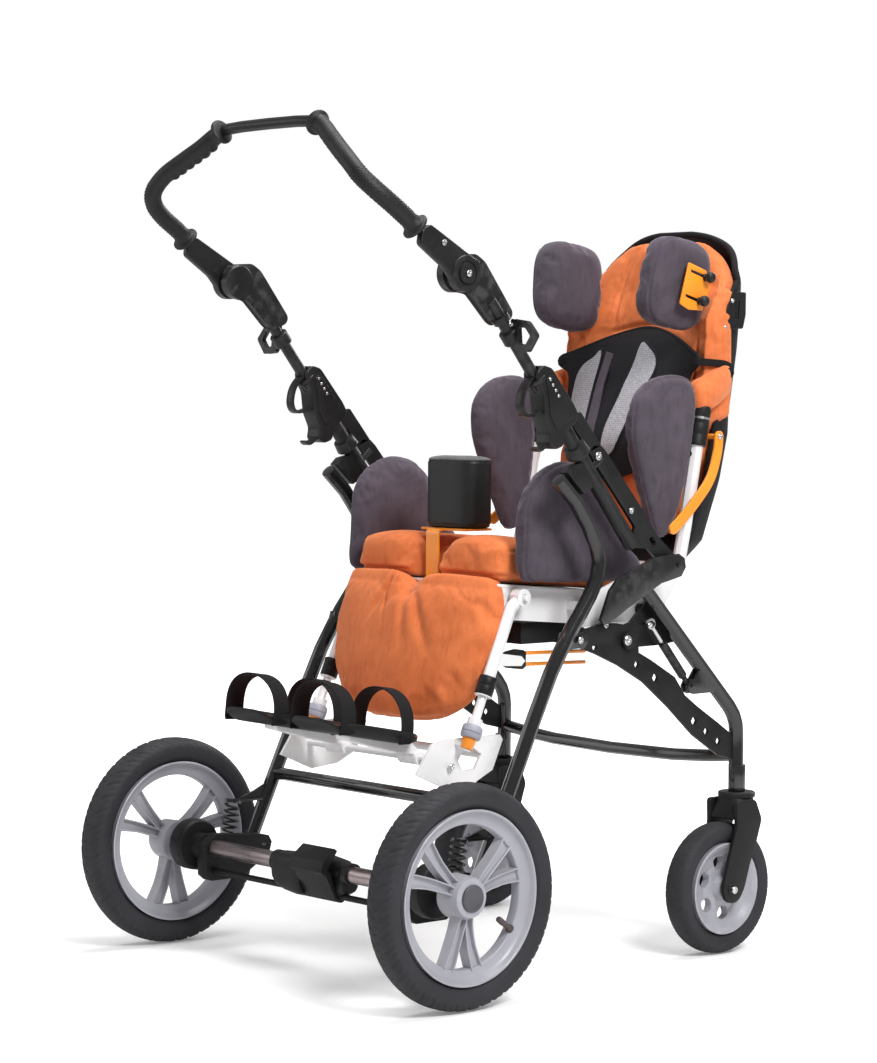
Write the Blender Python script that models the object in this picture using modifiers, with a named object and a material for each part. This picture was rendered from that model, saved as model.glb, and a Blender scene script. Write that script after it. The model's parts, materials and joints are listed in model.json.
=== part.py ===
# Paediatric rehab wheelchair of the folding buggy kind, its seat unit turned to face the pusher.
# Metres, +Z up, +X to the chassis's right, +Y the way it travels (caster end). The child faces -Y.
# Lengths along Y are measured from the rear axle; the whole is then shifted so its box is centred.
import math

import bmesh
import bpy
import numpy as np
from mathutils import Matrix, Vector

# Overall
FRAME_CENTRE_Y = 0.29372
GAP = 0.0003
SIDES = (("right", 1), ("left", -1))

# Wheels
WHEEL_RADIUS = 0.1525
WHEEL_X = 0.324
TYRE_HALF_WIDTH = 0.0262
TYRE_HEIGHT = 0.0355
RIM_RADIUS = WHEEL_RADIUS - TYRE_HEIGHT
CASTER_RADIUS = 0.0967
CASTER_X = 0.2545
CASTER_AXIS_Y = 0.609
CASTER_WHEEL_Y = 0.570
CASTER_HALF_WIDTH = 0.0215
CASTER_RIM_RADIUS = 0.066

# Chassis tubes and plates
FRAME_X = 0.252
TUBE_RADIUS = 0.011
PLATE = 0.005
FOLD_PIVOT = (0.283, 0.475)
HANDLE_PIVOT = (0.466, 0.576)
TILT_PIVOT = (0.3765, 0.470)
STRUT_LOW = (0.5065, 0.398)
STRUT_HIGH = (0.425, 0.492)
ARM_X = 0.236
LINK_X = 0.266
STEM_RADIUS = 0.013
STEM_BOTTOM = 0.2372

# Rear axle and suspension
AXLE_Z = WHEEL_RADIUS
ARM_PIVOT = (0.0925, 0.150)
DRUM_RADIUS = 0.0375
SPRING_LOW = (0.053, 0.1655)
SPRING_HIGH = (0.060, 0.2095)
SPRING_RADIUS = 0.0108
SPRING_WIRE = 0.0019
PEDAL_PIVOT = (0.0, 0.119)

# Push handle
HANDLE_BASE = Vector((FRAME_X, 0.3626, 0.6327))
HANDLE_SLOPE = Vector((0.0, -0.631, 0.776)).normalized()
HUB = Vector((FRAME_X, 0.0527, 0.9807))
HUB_RADIUS = 0.025

# Seat unit
SEAT_SLOPE = math.radians(4.7)
SEAT_FRONT = Vector((0.0, 0.215, 0.5515))
PAN_HALF_WIDTH = 0.155
HIP_X = PAN_HALF_WIDTH + 0.030
RECLINE_PIVOT = (0.520, 0.548)
LEG_PIVOT = (0.245, 0.532)
LEG_X = PAN_HALF_WIDTH + 0.016
LEG_BEND = (0.226, 0.5175)
LEG_DOWN = Vector((0.0, -0.048, -0.114)).normalized()
LEG_BAR = (0.246, 0.442)
FOOT_PIVOT = (0.122, 0.306)


# Scene and materials
def clear_scene():
    for obj in list(bpy.data.objects):
        bpy.data.objects.remove(obj, do_unlink=True)


def new_collection(name, hidden=False):
    made = bpy.data.collections.new(name)
    bpy.context.scene.collection.children.link(made)
    made.hide_render = hidden
    return made


clear_scene()
PARTS = new_collection("pediatric_wheelchair")
CUTTERS = new_collection("cutters", hidden=True)
MATERIALS = {
    "frame": ((0.045, 0.044, 0.047), 0.6, 0.35),
    "plastic": ((0.012, 0.012, 0.013), 0.0, 0.5),
    "white": ((0.72, 0.72, 0.73), 0.1, 0.4),
    "steel": ((0.55, 0.55, 0.55), 1.0, 0.3),
    "axle": ((0.30, 0.27, 0.24), 0.9, 0.4),
    "orange": ((0.85, 0.22, 0.02), 0.0, 0.45),
    "rubber": ((0.02, 0.02, 0.02), 0.0, 0.85),
    "cloth": ((0.055, 0.045, 0.055), 0.0, 0.95),
    "orange_cloth": ((0.62, 0.14, 0.035), 0.0, 0.95),
    "leather": ((0.018, 0.016, 0.017), 0.0, 0.5),
    "mesh": ((0.20, 0.20, 0.21), 0.0, 0.9),
}


def material(name, kind):
    colour, metallic, roughness = MATERIALS[kind]
    made = bpy.data.materials.new(name + "_" + kind)
    made.use_nodes = True
    shader = made.node_tree.nodes["Principled BSDF"]
    shader.inputs["Base Color"].default_value = (*colour, 1.0)
    shader.inputs["Metallic"].default_value = metallic
    shader.inputs["Roughness"].default_value = roughness
    return made


# Bodies: an empty on each joint's axis, which the pieces that turn or slide there follow
def body(name, at, parent=None):
    empty = bpy.data.objects.new(name, None)
    PARTS.objects.link(empty)
    empty.empty_display_size = 0.02
    empty["at"] = tuple(at)
    base = Vector(parent["at"]) if parent else Vector((0, 0, 0))
    empty.location = Vector(at) - base
    empty.parent = parent
    return empty


def on_side(point, x=0.0):
    return (x, point[0], point[1])


def place(obj, owner):
    obj.parent = owner
    obj.location = Vector(obj.location) - Vector(owner["at"])


# Meshes: every maker leaves its object at the origin with the shape where it belongs
def object_from(mesh, name="piece"):
    obj = bpy.data.objects.new(name, mesh)
    CUTTERS.objects.link(obj)
    return obj


def from_bmesh(bm, name="piece"):
    bmesh.ops.recalc_face_normals(bm, faces=bm.faces)
    mesh = bpy.data.meshes.new(name)
    bm.to_mesh(mesh)
    bm.free()
    return object_from(mesh, name)


def baked(obj, merge=1e-5):
    """The object's evaluated shape as a plain closed mesh, in place of the object."""
    bpy.context.view_layer.update()
    graph = bpy.context.evaluated_depsgraph_get()
    mesh = bpy.data.meshes.new_from_object(obj.evaluated_get(graph))
    bm = bmesh.new()
    bm.from_mesh(mesh)
    bm.transform(obj.matrix_world)
    bmesh.ops.remove_doubles(bm, verts=bm.verts, dist=merge)
    bpy.data.objects.remove(obj, do_unlink=True)
    bpy.data.meshes.remove(mesh)
    return from_bmesh(bm)


def moved(obj, matrix):
    obj.data.transform(matrix)
    if matrix.determinant() < 0:
        obj.data.flip_normals()
    return obj


def copy_of(obj, matrix=None):
    made = object_from(obj.data.copy())
    return moved(made, matrix) if matrix else made


MIRROR = Matrix.Diagonal((-1, 1, 1, 1))


def box(low, high, round_edges=0.0):
    """A box between two corners, its edges rounded off by one flat when asked."""
    low, high = Vector(low), Vector(high)
    bm = bmesh.new()
    bmesh.ops.create_cube(bm, size=1.0)
    size = high - low
    bmesh.ops.scale(bm, vec=size, verts=bm.verts)
    bmesh.ops.translate(bm, vec=(low + high) / 2, verts=bm.verts)
    if round_edges:
        bmesh.ops.bevel(
            bm, geom=bm.edges[:], offset=round_edges, segments=1, affect="EDGES", clamp_overlap=True
        )
    return from_bmesh(bm)


def toward(direction):
    """The rotation that takes +Z to a direction."""
    return Vector(direction).to_track_quat("Z", "Y").to_matrix().to_4x4()


def rod(start, end, radius, sides=12, end_radius=None):
    """A straight solid cylinder or cone between two points."""
    start, end = Vector(start), Vector(end)
    bm = bmesh.new()
    bmesh.ops.create_cone(
        bm, cap_ends=True, segments=sides, radius1=radius,
        radius2=radius if end_radius is None else end_radius, depth=(end - start).length,
    )
    bmesh.ops.transform(bm, matrix=toward(end - start), verts=bm.verts)
    bmesh.ops.translate(bm, vec=(start + end) / 2, verts=bm.verts)
    return from_bmesh(bm)


def pin(x_from, x_to, point, radius, sides=16):
    """A cylinder along X through a point of the side view."""
    return rod(on_side(point, x_from), on_side(point, x_to), radius, sides)


def rounded(points, radius, steps=4):
    """The same path with each inner corner replaced by an arc of the radius."""
    points = [Vector(p) for p in points]
    path = [points[0]]
    for before, corner, after in zip(points, points[1:], points[2:]):
        into = (before - corner).normalized()
        out = (after - corner).normalized()
        turn = math.pi - into.angle(out)
        if turn < 0.02:
            path.append(corner)
            continue
        reach = radius * math.tan(turn / 2)
        reach = min(reach, 0.49 * (before - corner).length, 0.49 * (after - corner).length)
        start, end = corner + into * reach, corner + out * reach
        for i in range(steps + 1):
            t = i / steps
            path.append((1 - t) ** 2 * start + 2 * t * (1 - t) * corner + t * t * end)
    path.append(points[-1])
    return path


def tube(points, radius, round_level=3, closed=False):
    """A round bar along a path, 4 + 2 * round_level sides, with filled ends."""
    curve = bpy.data.curves.new("path", "CURVE")
    curve.dimensions = "3D"
    curve.bevel_depth = radius
    curve.bevel_resolution = round_level
    curve.use_fill_caps = not closed
    spline = curve.splines.new("POLY")
    spline.points.add(len(points) - 1)
    for slot, point in zip(spline.points, points):
        slot.co = (*point, 1.0)
    spline.use_cyclic_u = closed
    obj = bpy.data.objects.new("path", curve)
    CUTTERS.objects.link(obj)
    return baked(obj)


def circle(centre, radius, sides=10):
    return [
        (centre[0] + radius * math.cos(2 * math.pi * i / sides),
         centre[1] + radius * math.sin(2 * math.pi * i / sides))
        for i in range(sides)
    ]


def plate(x, thickness, outline, holes=(), corner=0.0):
    """A flat plate in the side view (Y, Z), its middle at x, with holes given as outlines."""
    if corner:
        ring = [Vector((p[0], p[1], 0)) for p in outline]
        outline = []
        for i, spot in enumerate(ring):
            arc = rounded([ring[i - 1], spot, ring[(i + 1) % len(ring)]], corner, 2)[1:-1]
            outline += [(p.x, p.y) for p in arc]
    curve = bpy.data.curves.new("outline", "CURVE")
    curve.dimensions = "2D"
    curve.fill_mode = "BOTH"
    curve.extrude = thickness / 2
    for loop in (outline, *holes):
        spline = curve.splines.new("POLY")
        spline.points.add(len(loop) - 1)
        for slot, point in zip(spline.points, loop):
            slot.co = (point[0], point[1], 0.0, 1.0)
        spline.use_cyclic_u = True
    obj = bpy.data.objects.new("outline", curve)
    CUTTERS.objects.link(obj)
    obj.matrix_world = Matrix(((0, 0, 1, x), (1, 0, 0, 0), (0, 1, 0, 0), (0, 0, 0, 1)))
    return baked(obj)


def turned(profile, steps, start, direction, closed=False):
    """A turned body: (radius, height) points, height measured from start along direction."""
    mesh = bpy.data.meshes.new("profile")
    count = len(profile)
    edges = [(i, i + 1) for i in range(count - 1)] + ([(count - 1, 0)] if closed else [])
    mesh.from_pydata([(r, 0, h) for r, h in profile], edges, [])
    obj = bpy.data.objects.new("profile", mesh)
    CUTTERS.objects.link(obj)
    screw = obj.modifiers.new("turn", "SCREW")
    screw.steps = screw.render_steps = steps
    screw.use_merge_vertices = True
    screw.merge_threshold = 0.00001
    obj.matrix_world = Matrix.Translation(Vector(start)) @ toward(direction)
    return baked(obj)


def combine(target, others, operation):
    for number, other in enumerate(others):
        modifier = target.modifiers.new(f"{operation.lower()}_{number}", "BOOLEAN")
        modifier.operation = operation
        modifier.solver = "EXACT"
        modifier.object = other
    made = baked(target, 1e-6)
    for other in others:
        bpy.data.objects.remove(other, do_unlink=True)
    return made


def join(target, *others):
    return combine(target, others, "UNION")


def cut(target, *others):
    return combine(target, others, "DIFFERENCE")


def finish(obj, name, kind, owner, sharp=math.radians(35)):
    """Names a piece, gives it its material and hands it to the body that carries it."""
    obj.name = name
    obj.data.name = name
    obj.data.materials.append(material(name, kind))
    obj.data.shade_smooth()
    obj.data.set_sharp_from_angle(angle=sharp)
    CUTTERS.objects.unlink(obj)
    PARTS.objects.link(obj)
    place(obj, owner)
    return obj


def both(make, name, kind, owners):
    """The right-hand piece and its mirror image; owners are the bodies for right and left."""
    right = make()
    left = copy_of(right, MIRROR)
    finish(right, name + "_right", kind, owners[0])
    finish(left, name + "_left", kind, owners[-1])


# Bodies and their joint axes
chair = body("wheelchair_origin", (0, 0, 0))
chair.location.y = -FRAME_CENTRE_Y
chassis = body("chassis", (0, 0, 0), chair)
rear_frame = body("rear_frame_fold", on_side(FOLD_PIVOT), chassis)
rear_axle = body("rear_axle_spring", on_side(ARM_PIVOT), rear_frame)
pedal_body = body("brake_pedal_axis", on_side(PEDAL_PIVOT), rear_axle)
handle_body = body("handle_fold", on_side(HANDLE_PIVOT), chassis)
height_body = body("handle_height", HUB, handle_body)
bar_body = body("handle_angle", (0, HUB.y, HUB.z), height_body)
seat_body = body("seat_tilt", on_side(TILT_PIVOT), chassis)
strut_body = body("strut_swing", on_side(STRUT_LOW, FRAME_X), chassis)
rod_body = body("strut_stroke", on_side(STRUT_HIGH, FRAME_X), strut_body)
back_body = body("back_recline", on_side(RECLINE_PIVOT), seat_body)
leg_body = body("legrest_angle", on_side(LEG_PIVOT), seat_body)
leg_slide = body("legrest_length", on_side(LEG_PIVOT), leg_body)


# Chassis
def leg_path():
    corner = on_side((CASTER_AXIS_Y, 0.346), FRAME_X)
    top = on_side((0.400, 0.555), FRAME_X)
    foot = (FRAME_X, CASTER_AXIS_Y, STEM_BOTTOM + 0.03)
    return rounded([top, corner, foot], 0.06, 3)


def front_leg():
    leg = tube(leg_path(), TUBE_RADIUS)
    stem = turned(
        [(0, 0.038), (STEM_RADIUS, 0.038), (STEM_RADIUS, 0),
         (0.0065, 0), (0.0065, 0.026), (0, 0.026)],
        12, (CASTER_X, CASTER_AXIS_Y, STEM_BOTTOM), (0, 0, 1),
    )
    cheeks = [
        plate(FRAME_X + side * 0.0058, 0.003,
              [(0.4965, 0.398), (0.5005, 0.3885), (0.5085, 0.386), (0.5675, 0.3865), (0.5265, 0.4275),
               (0.512, 0.408), (0.502, 0.4075)])
        for side in (-1, 1)
    ]
    lower_pin = pin(FRAME_X - 0.0085, FRAME_X + 0.0095, STRUT_LOW, 0.003, 8)
    link = plate(
        LINK_X, PLATE,
        [(0.4715, 0.5595), (0.4805, 0.5725), (0.4775, 0.5855), (0.466, 0.592), (0.4404, 0.5905),
         (0.4135, 0.5875), (0.3436, 0.5605), (0.3275, 0.5445), (0.3095, 0.5035), (0.3150, 0.4965),
         (0.3265, 0.4975), (0.3610, 0.5165), (0.4300, 0.5505)],
    )
    link_pin = pin(FRAME_X - 0.0075, LINK_X + 0.006, HANDLE_PIVOT, 0.0045, 10)
    spacer = rod((FRAME_X, 0.4075, 0.5475), (LINK_X + 0.001, 0.4075, 0.5475), 0.0068, 8)
    return join(leg, stem, *cheeks, lower_pin, link, link_pin, spacer)


def arch_plate():
    outline = [
        (0.2794, 0.4652), (0.3130, 0.4545), (0.3595, 0.4355), (0.4102, 0.4089),
        (0.4620, 0.3699), (0.5147, 0.3252), (0.5682, 0.2921), (0.603, 0.284), (0.606, 0.310),
        (0.5962, 0.3215), (0.5673, 0.3400), (0.5245, 0.3659), (0.4962, 0.3850), (0.4750, 0.4124),
        (0.4267, 0.4391), (0.4000, 0.4520), (0.3985, 0.4760), (0.3890, 0.4900), (0.3552, 0.4960),
        (0.3255, 0.4973), (0.2880, 0.4890), (0.2812, 0.4852), (0.2763, 0.4830), (0.2732, 0.4786),
        (0.2728, 0.4732), (0.2750, 0.4683),
    ]
    holes = [circle(spot, r, 6) for spot, r in (
        ((0.3115, 0.4640), 0.0050), ((0.3960, 0.4350), 0.0050), ((0.4340, 0.4140), 0.0060),
        ((0.5160, 0.3460), 0.0060), ((0.5420, 0.3290), 0.0052), ((0.5680, 0.3130), 0.0052))]
    holes += [circle(FOLD_PIVOT, 0.0044, 10), circle(TILT_PIVOT, 0.0065, 12)]
    sheet = plate(FRAME_X, PLATE, outline, holes)
    leg_room = tube(leg_path(), TUBE_RADIUS + GAP)
    return cut(sheet, leg_room)


def front_crossbar():
    ends = FRAME_X - 0.004
    path = [(-ends, CASTER_AXIS_Y, 0.289), (-0.20, 0.607, 0.2835), (-0.13, 0.603, 0.279), (0, 0.600, 0.277)]
    path += [(-x, y, z) for x, y, z in reversed(path[:-1])]
    bar = tube(path, 0.0095)
    rooms = []
    for _, sign in SIDES:
        rooms.append(rod((sign * FRAME_X, CASTER_AXIS_Y, 0.26), (sign * FRAME_X, CASTER_AXIS_Y, 0.32),
                         TUBE_RADIUS + GAP, 20))
        rooms.append(rod((sign * CASTER_X, CASTER_AXIS_Y, 0.22), (sign * CASTER_X, CASTER_AXIS_Y, 0.2755),
                         STEM_RADIUS + GAP, 20))
    return cut(bar, *rooms)


both(front_leg, "front_leg", "frame", (chassis,))
both(arch_plate, "arch_plate", "frame", (chassis,))
finish(front_crossbar(), "front_crossbar", "frame", chassis)


# Rear frame
REAR_LEG = [
    (0.239, 0.701), (0.272, 0.671), (0.297, 0.638), (0.314, 0.609), (0.321, 0.585), (0.316, 0.560),
    (0.302, 0.536), (0.285, 0.513), (0.265, 0.488), (0.247, 0.461), (0.228, 0.431), (0.197, 0.3695),
    (0.0925, 0.150),
]


def rear_leg():
    leg = tube([on_side(p, FRAME_X) for p in REAR_LEG], TUBE_RADIUS)
    lug = [
        plate(FRAME_X + side * 0.0045, 0.0032,
              [(0.2500, 0.4870), (0.2440, 0.4630), (0.2760, 0.4640), (0.2870, 0.4635), (0.2945, 0.4715),
               (0.2935, 0.4815), (0.2840, 0.4870)])
        for side in (-1, 1)
    ]
    fold_pin = pin(FRAME_X - 0.0075, FRAME_X + 0.0080, FOLD_PIVOT, 0.004, 10)
    seat = rod((FRAME_X, 0.0600, 0.2098), (FRAME_X, 0.0612, 0.2150), 0.0125, 12)
    bracket = box((FRAME_X - 0.006, 0.062, 0.2105), (FRAME_X + 0.006, 0.122, 0.2150))
    web = plate(FRAME_X, 0.004, [(0.066, 0.2145), (0.122, 0.2145), (0.134, 0.240), (0.100, 0.225)])
    arm_pin = pin(0.2168, FRAME_X + 0.0125, ARM_PIVOT, 0.004, 10)
    return join(leg, *lug, fold_pin, seat, bracket, web, arm_pin)


def rear_crossbar():
    bar = rod((-FRAME_X, 0.1395, 0.2485), (FRAME_X, 0.1395, 0.2485), 0.0095, 14)
    rooms = [
        tube([on_side(p, sign * FRAME_X) for p in REAR_LEG[-2:]], TUBE_RADIUS + GAP, 6)
        for _, sign in SIDES
    ]
    return cut(bar, *rooms)


both(rear_leg, "rear_leg", "frame", (rear_frame,))
finish(rear_crossbar(), "rear_crossbar", "frame", rear_frame)


# Rear axle
def suspension_arm():
    housing = plate(
        0.2275, 0.022,
        [(-0.016, 0.158), (-0.014, 0.112), (-0.004, 0.104), (0.050, 0.104), (0.074, 0.118),
         (0.103, 0.138), (0.107, 0.152), (0.101, 0.162), (0.088, 0.1645), (0.055, 0.1665), (0.004, 0.172)],
        [circle(ARM_PIVOT, 0.0044, 10)],
    )
    shelf = box((0.232, 0.0405, 0.156), (FRAME_X + 0.009, 0.066, 0.1608))
    drum = turned(
        [(0, 0.031), (0.020, 0.031), (DRUM_RADIUS - 0.002, 0.027), (DRUM_RADIUS, 0.024), (DRUM_RADIUS, 0.004),
         (DRUM_RADIUS - 0.003, 0.0), (0, 0.0)],
        20, (0.2525, 0, AXLE_Z), (1, 0, 0),
    )
    stub = rod((0.230, 0, AXLE_Z), (WHEEL_X + 0.020, 0, AXLE_Z), 0.006, 10)
    neck = rod((0.234, 0, AXLE_Z), (0.256, 0, AXLE_Z), 0.019, 12)
    return join(housing, shelf, drum, stub, neck)


def axle_tube():
    return rod((-0.2162, 0, AXLE_Z), (0.2162, 0, AXLE_Z), 0.0120, 18)


def brake_housing():
    shell = plate(
        -0.004, 0.158,
        [(-0.021, 0.1295), (-0.014, 0.112), (0.012, 0.110), (0.023, 0.121), (0.0235, 0.150), (0.0185, 0.1685),
         (0.004, 0.1735), (-0.012, 0.1705), (-0.0205, 0.160)],
    )
    tube_room = rod((-0.1, 0, AXLE_Z), (0.1, 0, AXLE_Z), 0.0120 + GAP, 18)
    rod_room = rod((-0.1, *PEDAL_PIVOT), (0.1, *PEDAL_PIVOT), 0.0052, 14)
    pedal_room = box((0.0015, -0.05, 0.100), (0.0765, -0.0130, 0.200))
    boss_room = box((0.0012, -0.05, 0.101), (0.0768, 0.0105, 0.1375))
    return cut(shell, tube_room, rod_room, pedal_room, boss_room)


def brake_pedal():
    bar = rod((-0.2155, *PEDAL_PIVOT), (0.2155, *PEDAL_PIVOT), 0.0046, 12)
    boss = rod((0.004, *PEDAL_PIVOT), (0.074, *PEDAL_PIVOT), 0.0088, 14)
    stem = plate(0.039, 0.070, [(-0.0090, 0.1125), (-0.0130, 0.1225), (-0.0275, 0.1500), (-0.0285, 0.1560),
                                (-0.0240, 0.1580), (-0.0185, 0.1520), (-0.0140, 0.1370), (-0.0035, 0.1150)])
    flap = plate(0.039, 0.070, [(-0.0305, 0.1510), (-0.0240, 0.1590), (-0.0075, 0.1835), (-0.0120, 0.1870),
                                (-0.0330, 0.1710), (-0.0365, 0.1560)])
    return join(bar, boss, stem, flap)


def spring_coil():
    low, high = on_side(SPRING_LOW, FRAME_X), on_side(SPRING_HIGH, FRAME_X)
    axis = Vector(high) - Vector(low)
    turns, per_turn = 4.5, 8
    count = int(turns * per_turn)
    lift = axis.length - 2 * SPRING_WIRE + 0.0006
    points = []
    for i in range(count + 1):
        angle = 2 * math.pi * i / per_turn
        local = Vector((SPRING_RADIUS * math.cos(angle), SPRING_RADIUS * math.sin(angle),
                        SPRING_WIRE - 0.0004 + lift * i / count))
        points.append(Vector(low) + toward(axis) @ local)
    return tube(points, SPRING_WIRE, 1)


both(suspension_arm, "suspension_arm", "plastic", (rear_axle,))
finish(axle_tube(), "axle_tube", "axle", rear_axle)
finish(brake_housing(), "brake_housing", "plastic", rear_axle)
finish(brake_pedal(), "brake_pedal", "plastic", pedal_body)
both(spring_coil, "suspension_spring", "steel", (rear_frame,))


# Wheels
SPOKE_TURN = math.radians(27)


def lathe_ring(profile, steps, x, centre):
    """A ring round the wheel's axle: closed loop of (radius, sideways) points."""
    return turned(profile, steps, (x, centre[0], centre[1]), (1, 0, 0), closed=True)


def tyre(x, centre, radius, half_width, bead, steps):
    side = half_width
    radius /= math.cos(math.pi / steps)  # a flat of the ring, not a corner, meets the floor
    profile = [
        (bead, 0.72 * side), (radius - 0.012, side), (radius, 0.42 * side),
        (radius, -0.42 * side), (radius - 0.012, -side), (bead, -0.72 * side),
    ]
    return lathe_ring(profile, steps, x, centre)


def rim_ring(x, centre, outer, half_width, depth, steps):
    side = half_width
    profile = [
        (outer - GAP, side), (outer - GAP, -side), (outer - depth, -0.45 * side), (outer - depth, 0.45 * side),
    ]
    return lathe_ring(profile, steps, x, centre)


def rear_wheel_rim():
    centre = (0, AXLE_Z)
    ring = rim_ring(WHEEL_X, centre, RIM_RADIUS, 0.0175, 0.020, 30)
    hub = turned(
        [(0.0064, 0.020), (0.0275, 0.018), (0.0300, 0.0125), (0.0285, -0.019), (0.0064, -0.019)],
        14, (WHEEL_X, 0, AXLE_Z), (1, 0, 0), closed=True,
    )
    spokes = []
    for arm in range(3):
        base = SPOKE_TURN + arm * 2 * math.pi / 3
        for lean in (-1, 1):
            spokes.append(wheel_spoke(base, lean))
    return join(ring, hub, *spokes)


def wheel_spoke(base, lean):
    """One of a spoke's two fins: it leaves the hub with its twin and parts from it towards the rim."""
    points = []
    outer = RIM_RADIUS - 0.016
    for radius, spread, half in ((0.022, 0.16, 0.0066), (0.6 * outer, 0.20, 0.0078), (outer, 0.262, 0.0096)):
        points.append((radius, base + lean * spread, half))
    outline = [(r * math.cos(a) - h * math.sin(a), AXLE_Z + r * math.sin(a) + h * math.cos(a))
               for r, a, h in points]
    outline += [(r * math.cos(a) + h * math.sin(a), AXLE_Z + r * math.sin(a) - h * math.cos(a))
                for r, a, h in reversed(points)]
    return plate(WHEEL_X, 0.0205, outline)


def caster_rim(x):
    centre = (CASTER_WHEEL_Y, CASTER_RADIUS)
    outer = CASTER_RIM_RADIUS
    disc = turned(
        [(0.0046, 0.0150), (0.0190, 0.0055), (outer - 0.014, 0.0055), (outer - GAP, 0.0165),
         (outer - GAP, -0.0165), (outer - 0.014, -0.0055), (0.0190, -0.0055), (0.0046, -0.0150)],
        22, (x, *centre), (1, 0, 0), closed=True,
    )
    holes = []
    for i in range(6):
        angle = 2 * math.pi * i / 6 + 0.13
        spot = Vector((0, math.cos(angle), math.sin(angle)))
        middle = Vector((x, *centre)) + 0.0365 * spot
        hole = rod(middle - Vector((0.02, 0, 0)), middle + Vector((0.02, 0, 0)), 0.0092, 6)
        holes.append(hole)
    return cut(disc, *holes)


def caster_fork(sign):
    x = sign * CASTER_X
    centre = (CASTER_WHEEL_Y, CASTER_RADIUS)
    crown = plate(x, 0.058, [(0.575, 0.2275), (0.645, 0.2275), (0.650, 0.2310), (0.645, 0.2345), (0.575, 0.2345),
                             (0.571, 0.2310)])
    cheeks = []
    for side in (-1, 1):
        outline = [(0.5755, 0.2300), (0.6430, 0.2300), (0.6400, 0.2050), (0.6200, 0.1550), (0.6000, 0.1180),
                   (0.5850, 0.0900), (0.5770, 0.0850), (0.5640, 0.0850), (0.5570, 0.0930), (0.5600, 0.1200),
                   (0.5700, 0.1750)]
        opening = [(0.5850, 0.2150), (0.6080, 0.2150), (0.6010, 0.1930), (0.5890, 0.1800)]
        cheeks.append(plate(x + side * 0.0268, 0.0052, outline, (opening,)))
    axle = pin(x - 0.0315, x + 0.0315, centre, 0.0040, 12)
    stem = rod((x, CASTER_AXIS_Y, 0.2300), (x, CASTER_AXIS_Y, STEM_BOTTOM + 0.0245), 0.0060, 14)
    collar = rod((x, CASTER_AXIS_Y, 0.2300), (x, CASTER_AXIS_Y, STEM_BOTTOM - GAP), 0.0115, 16)
    return join(crown, *cheeks, axle, stem, collar)


for side, sign in SIDES:
    wheel_body = body("rear_wheel_axis_" + side, (sign * WHEEL_X, 0, AXLE_Z), rear_axle)
    swivel_body = body("caster_swivel_" + side, (sign * CASTER_X, CASTER_AXIS_Y, STEM_BOTTOM), chassis)
    spin_body = body("caster_axis_" + side, (sign * CASTER_X, CASTER_WHEEL_Y, CASTER_RADIUS), swivel_body)
    rim = rear_wheel_rim()
    if sign < 0:
        moved(rim, MIRROR)
    finish(rim, "rear_rim_" + side, "plastic", wheel_body)
    big_tyre = tyre(sign * WHEEL_X, (0, AXLE_Z), WHEEL_RADIUS, TYRE_HALF_WIDTH, RIM_RADIUS, 30)
    finish(big_tyre, "rear_tyre_" + side, "rubber", wheel_body)
    finish(caster_fork(sign), "caster_fork_" + side, "plastic", swivel_body)
    finish(caster_rim(sign * CASTER_X), "caster_rim_" + side, "plastic", spin_body)
    small_tyre = tyre(sign * CASTER_X, (CASTER_WHEEL_Y, CASTER_RADIUS), CASTER_RADIUS, CASTER_HALF_WIDTH,
                      CASTER_RIM_RADIUS, 22)
    finish(small_tyre, "caster_tyre_" + side, "rubber", spin_body)


# Push handle
def along(t, side=0.0, x=FRAME_X):
    """A point on the handle tube's axis, t from its base point, side measured towards the casters."""
    normal = Vector((0.0, HANDLE_SLOPE.z, -HANDLE_SLOPE.y))
    point = HANDLE_BASE + t * HANDLE_SLOPE + side * normal
    return Vector((x, point.y, point.z))


HANDLE_TOP = 0.267
BORE_FOOT = 0.025
INNER_RADIUS = 0.0085


def handle_tube():
    outer = rod(along(-0.0355), along(HANDLE_TOP), TUBE_RADIUS, 12)
    bore = rod(along(BORE_FOOT), along(HANDLE_TOP + 0.02), INNER_RADIUS + 0.0007, 12)
    strap = plate(
        FRAME_X, 0.006,
        [(0.2960, 0.7385), (0.3110, 0.7210), (0.3785, 0.6450), (0.4150, 0.6010), (0.4540, 0.5690),
         (0.4640, 0.5640), (0.4740, 0.5665), (0.4790, 0.5760), (0.4760, 0.5860), (0.4350, 0.6185),
         (0.3980, 0.6630), (0.3300, 0.7395), (0.3200, 0.7480), (0.3050, 0.7480)],
        [circle(HANDLE_PIVOT, 0.0051, 10),
         [(0.4185, 0.6135), (0.4235, 0.6045), (0.4300, 0.6045), (0.4320, 0.6095), (0.4260, 0.6170), (0.4200, 0.6175)]],
    )
    web = plate(FRAME_X, 0.0058, [(0.3820, 0.6130), (0.3900, 0.6020), (0.4180, 0.6000), (0.3900, 0.6350)])
    upper_link = rod(along(0.103), along(0.103, 0.0300), 0.0060, 8)
    latch = plate(
        FRAME_X, 0.017,
        [(0.2500, 0.7105), (0.2822, 0.6805), (0.2990, 0.6900), (0.2960, 0.7060), (0.2800, 0.7250), (0.2610, 0.7205)],
    )
    return cut(join(outer, strap, web, upper_link, latch), bore)


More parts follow.
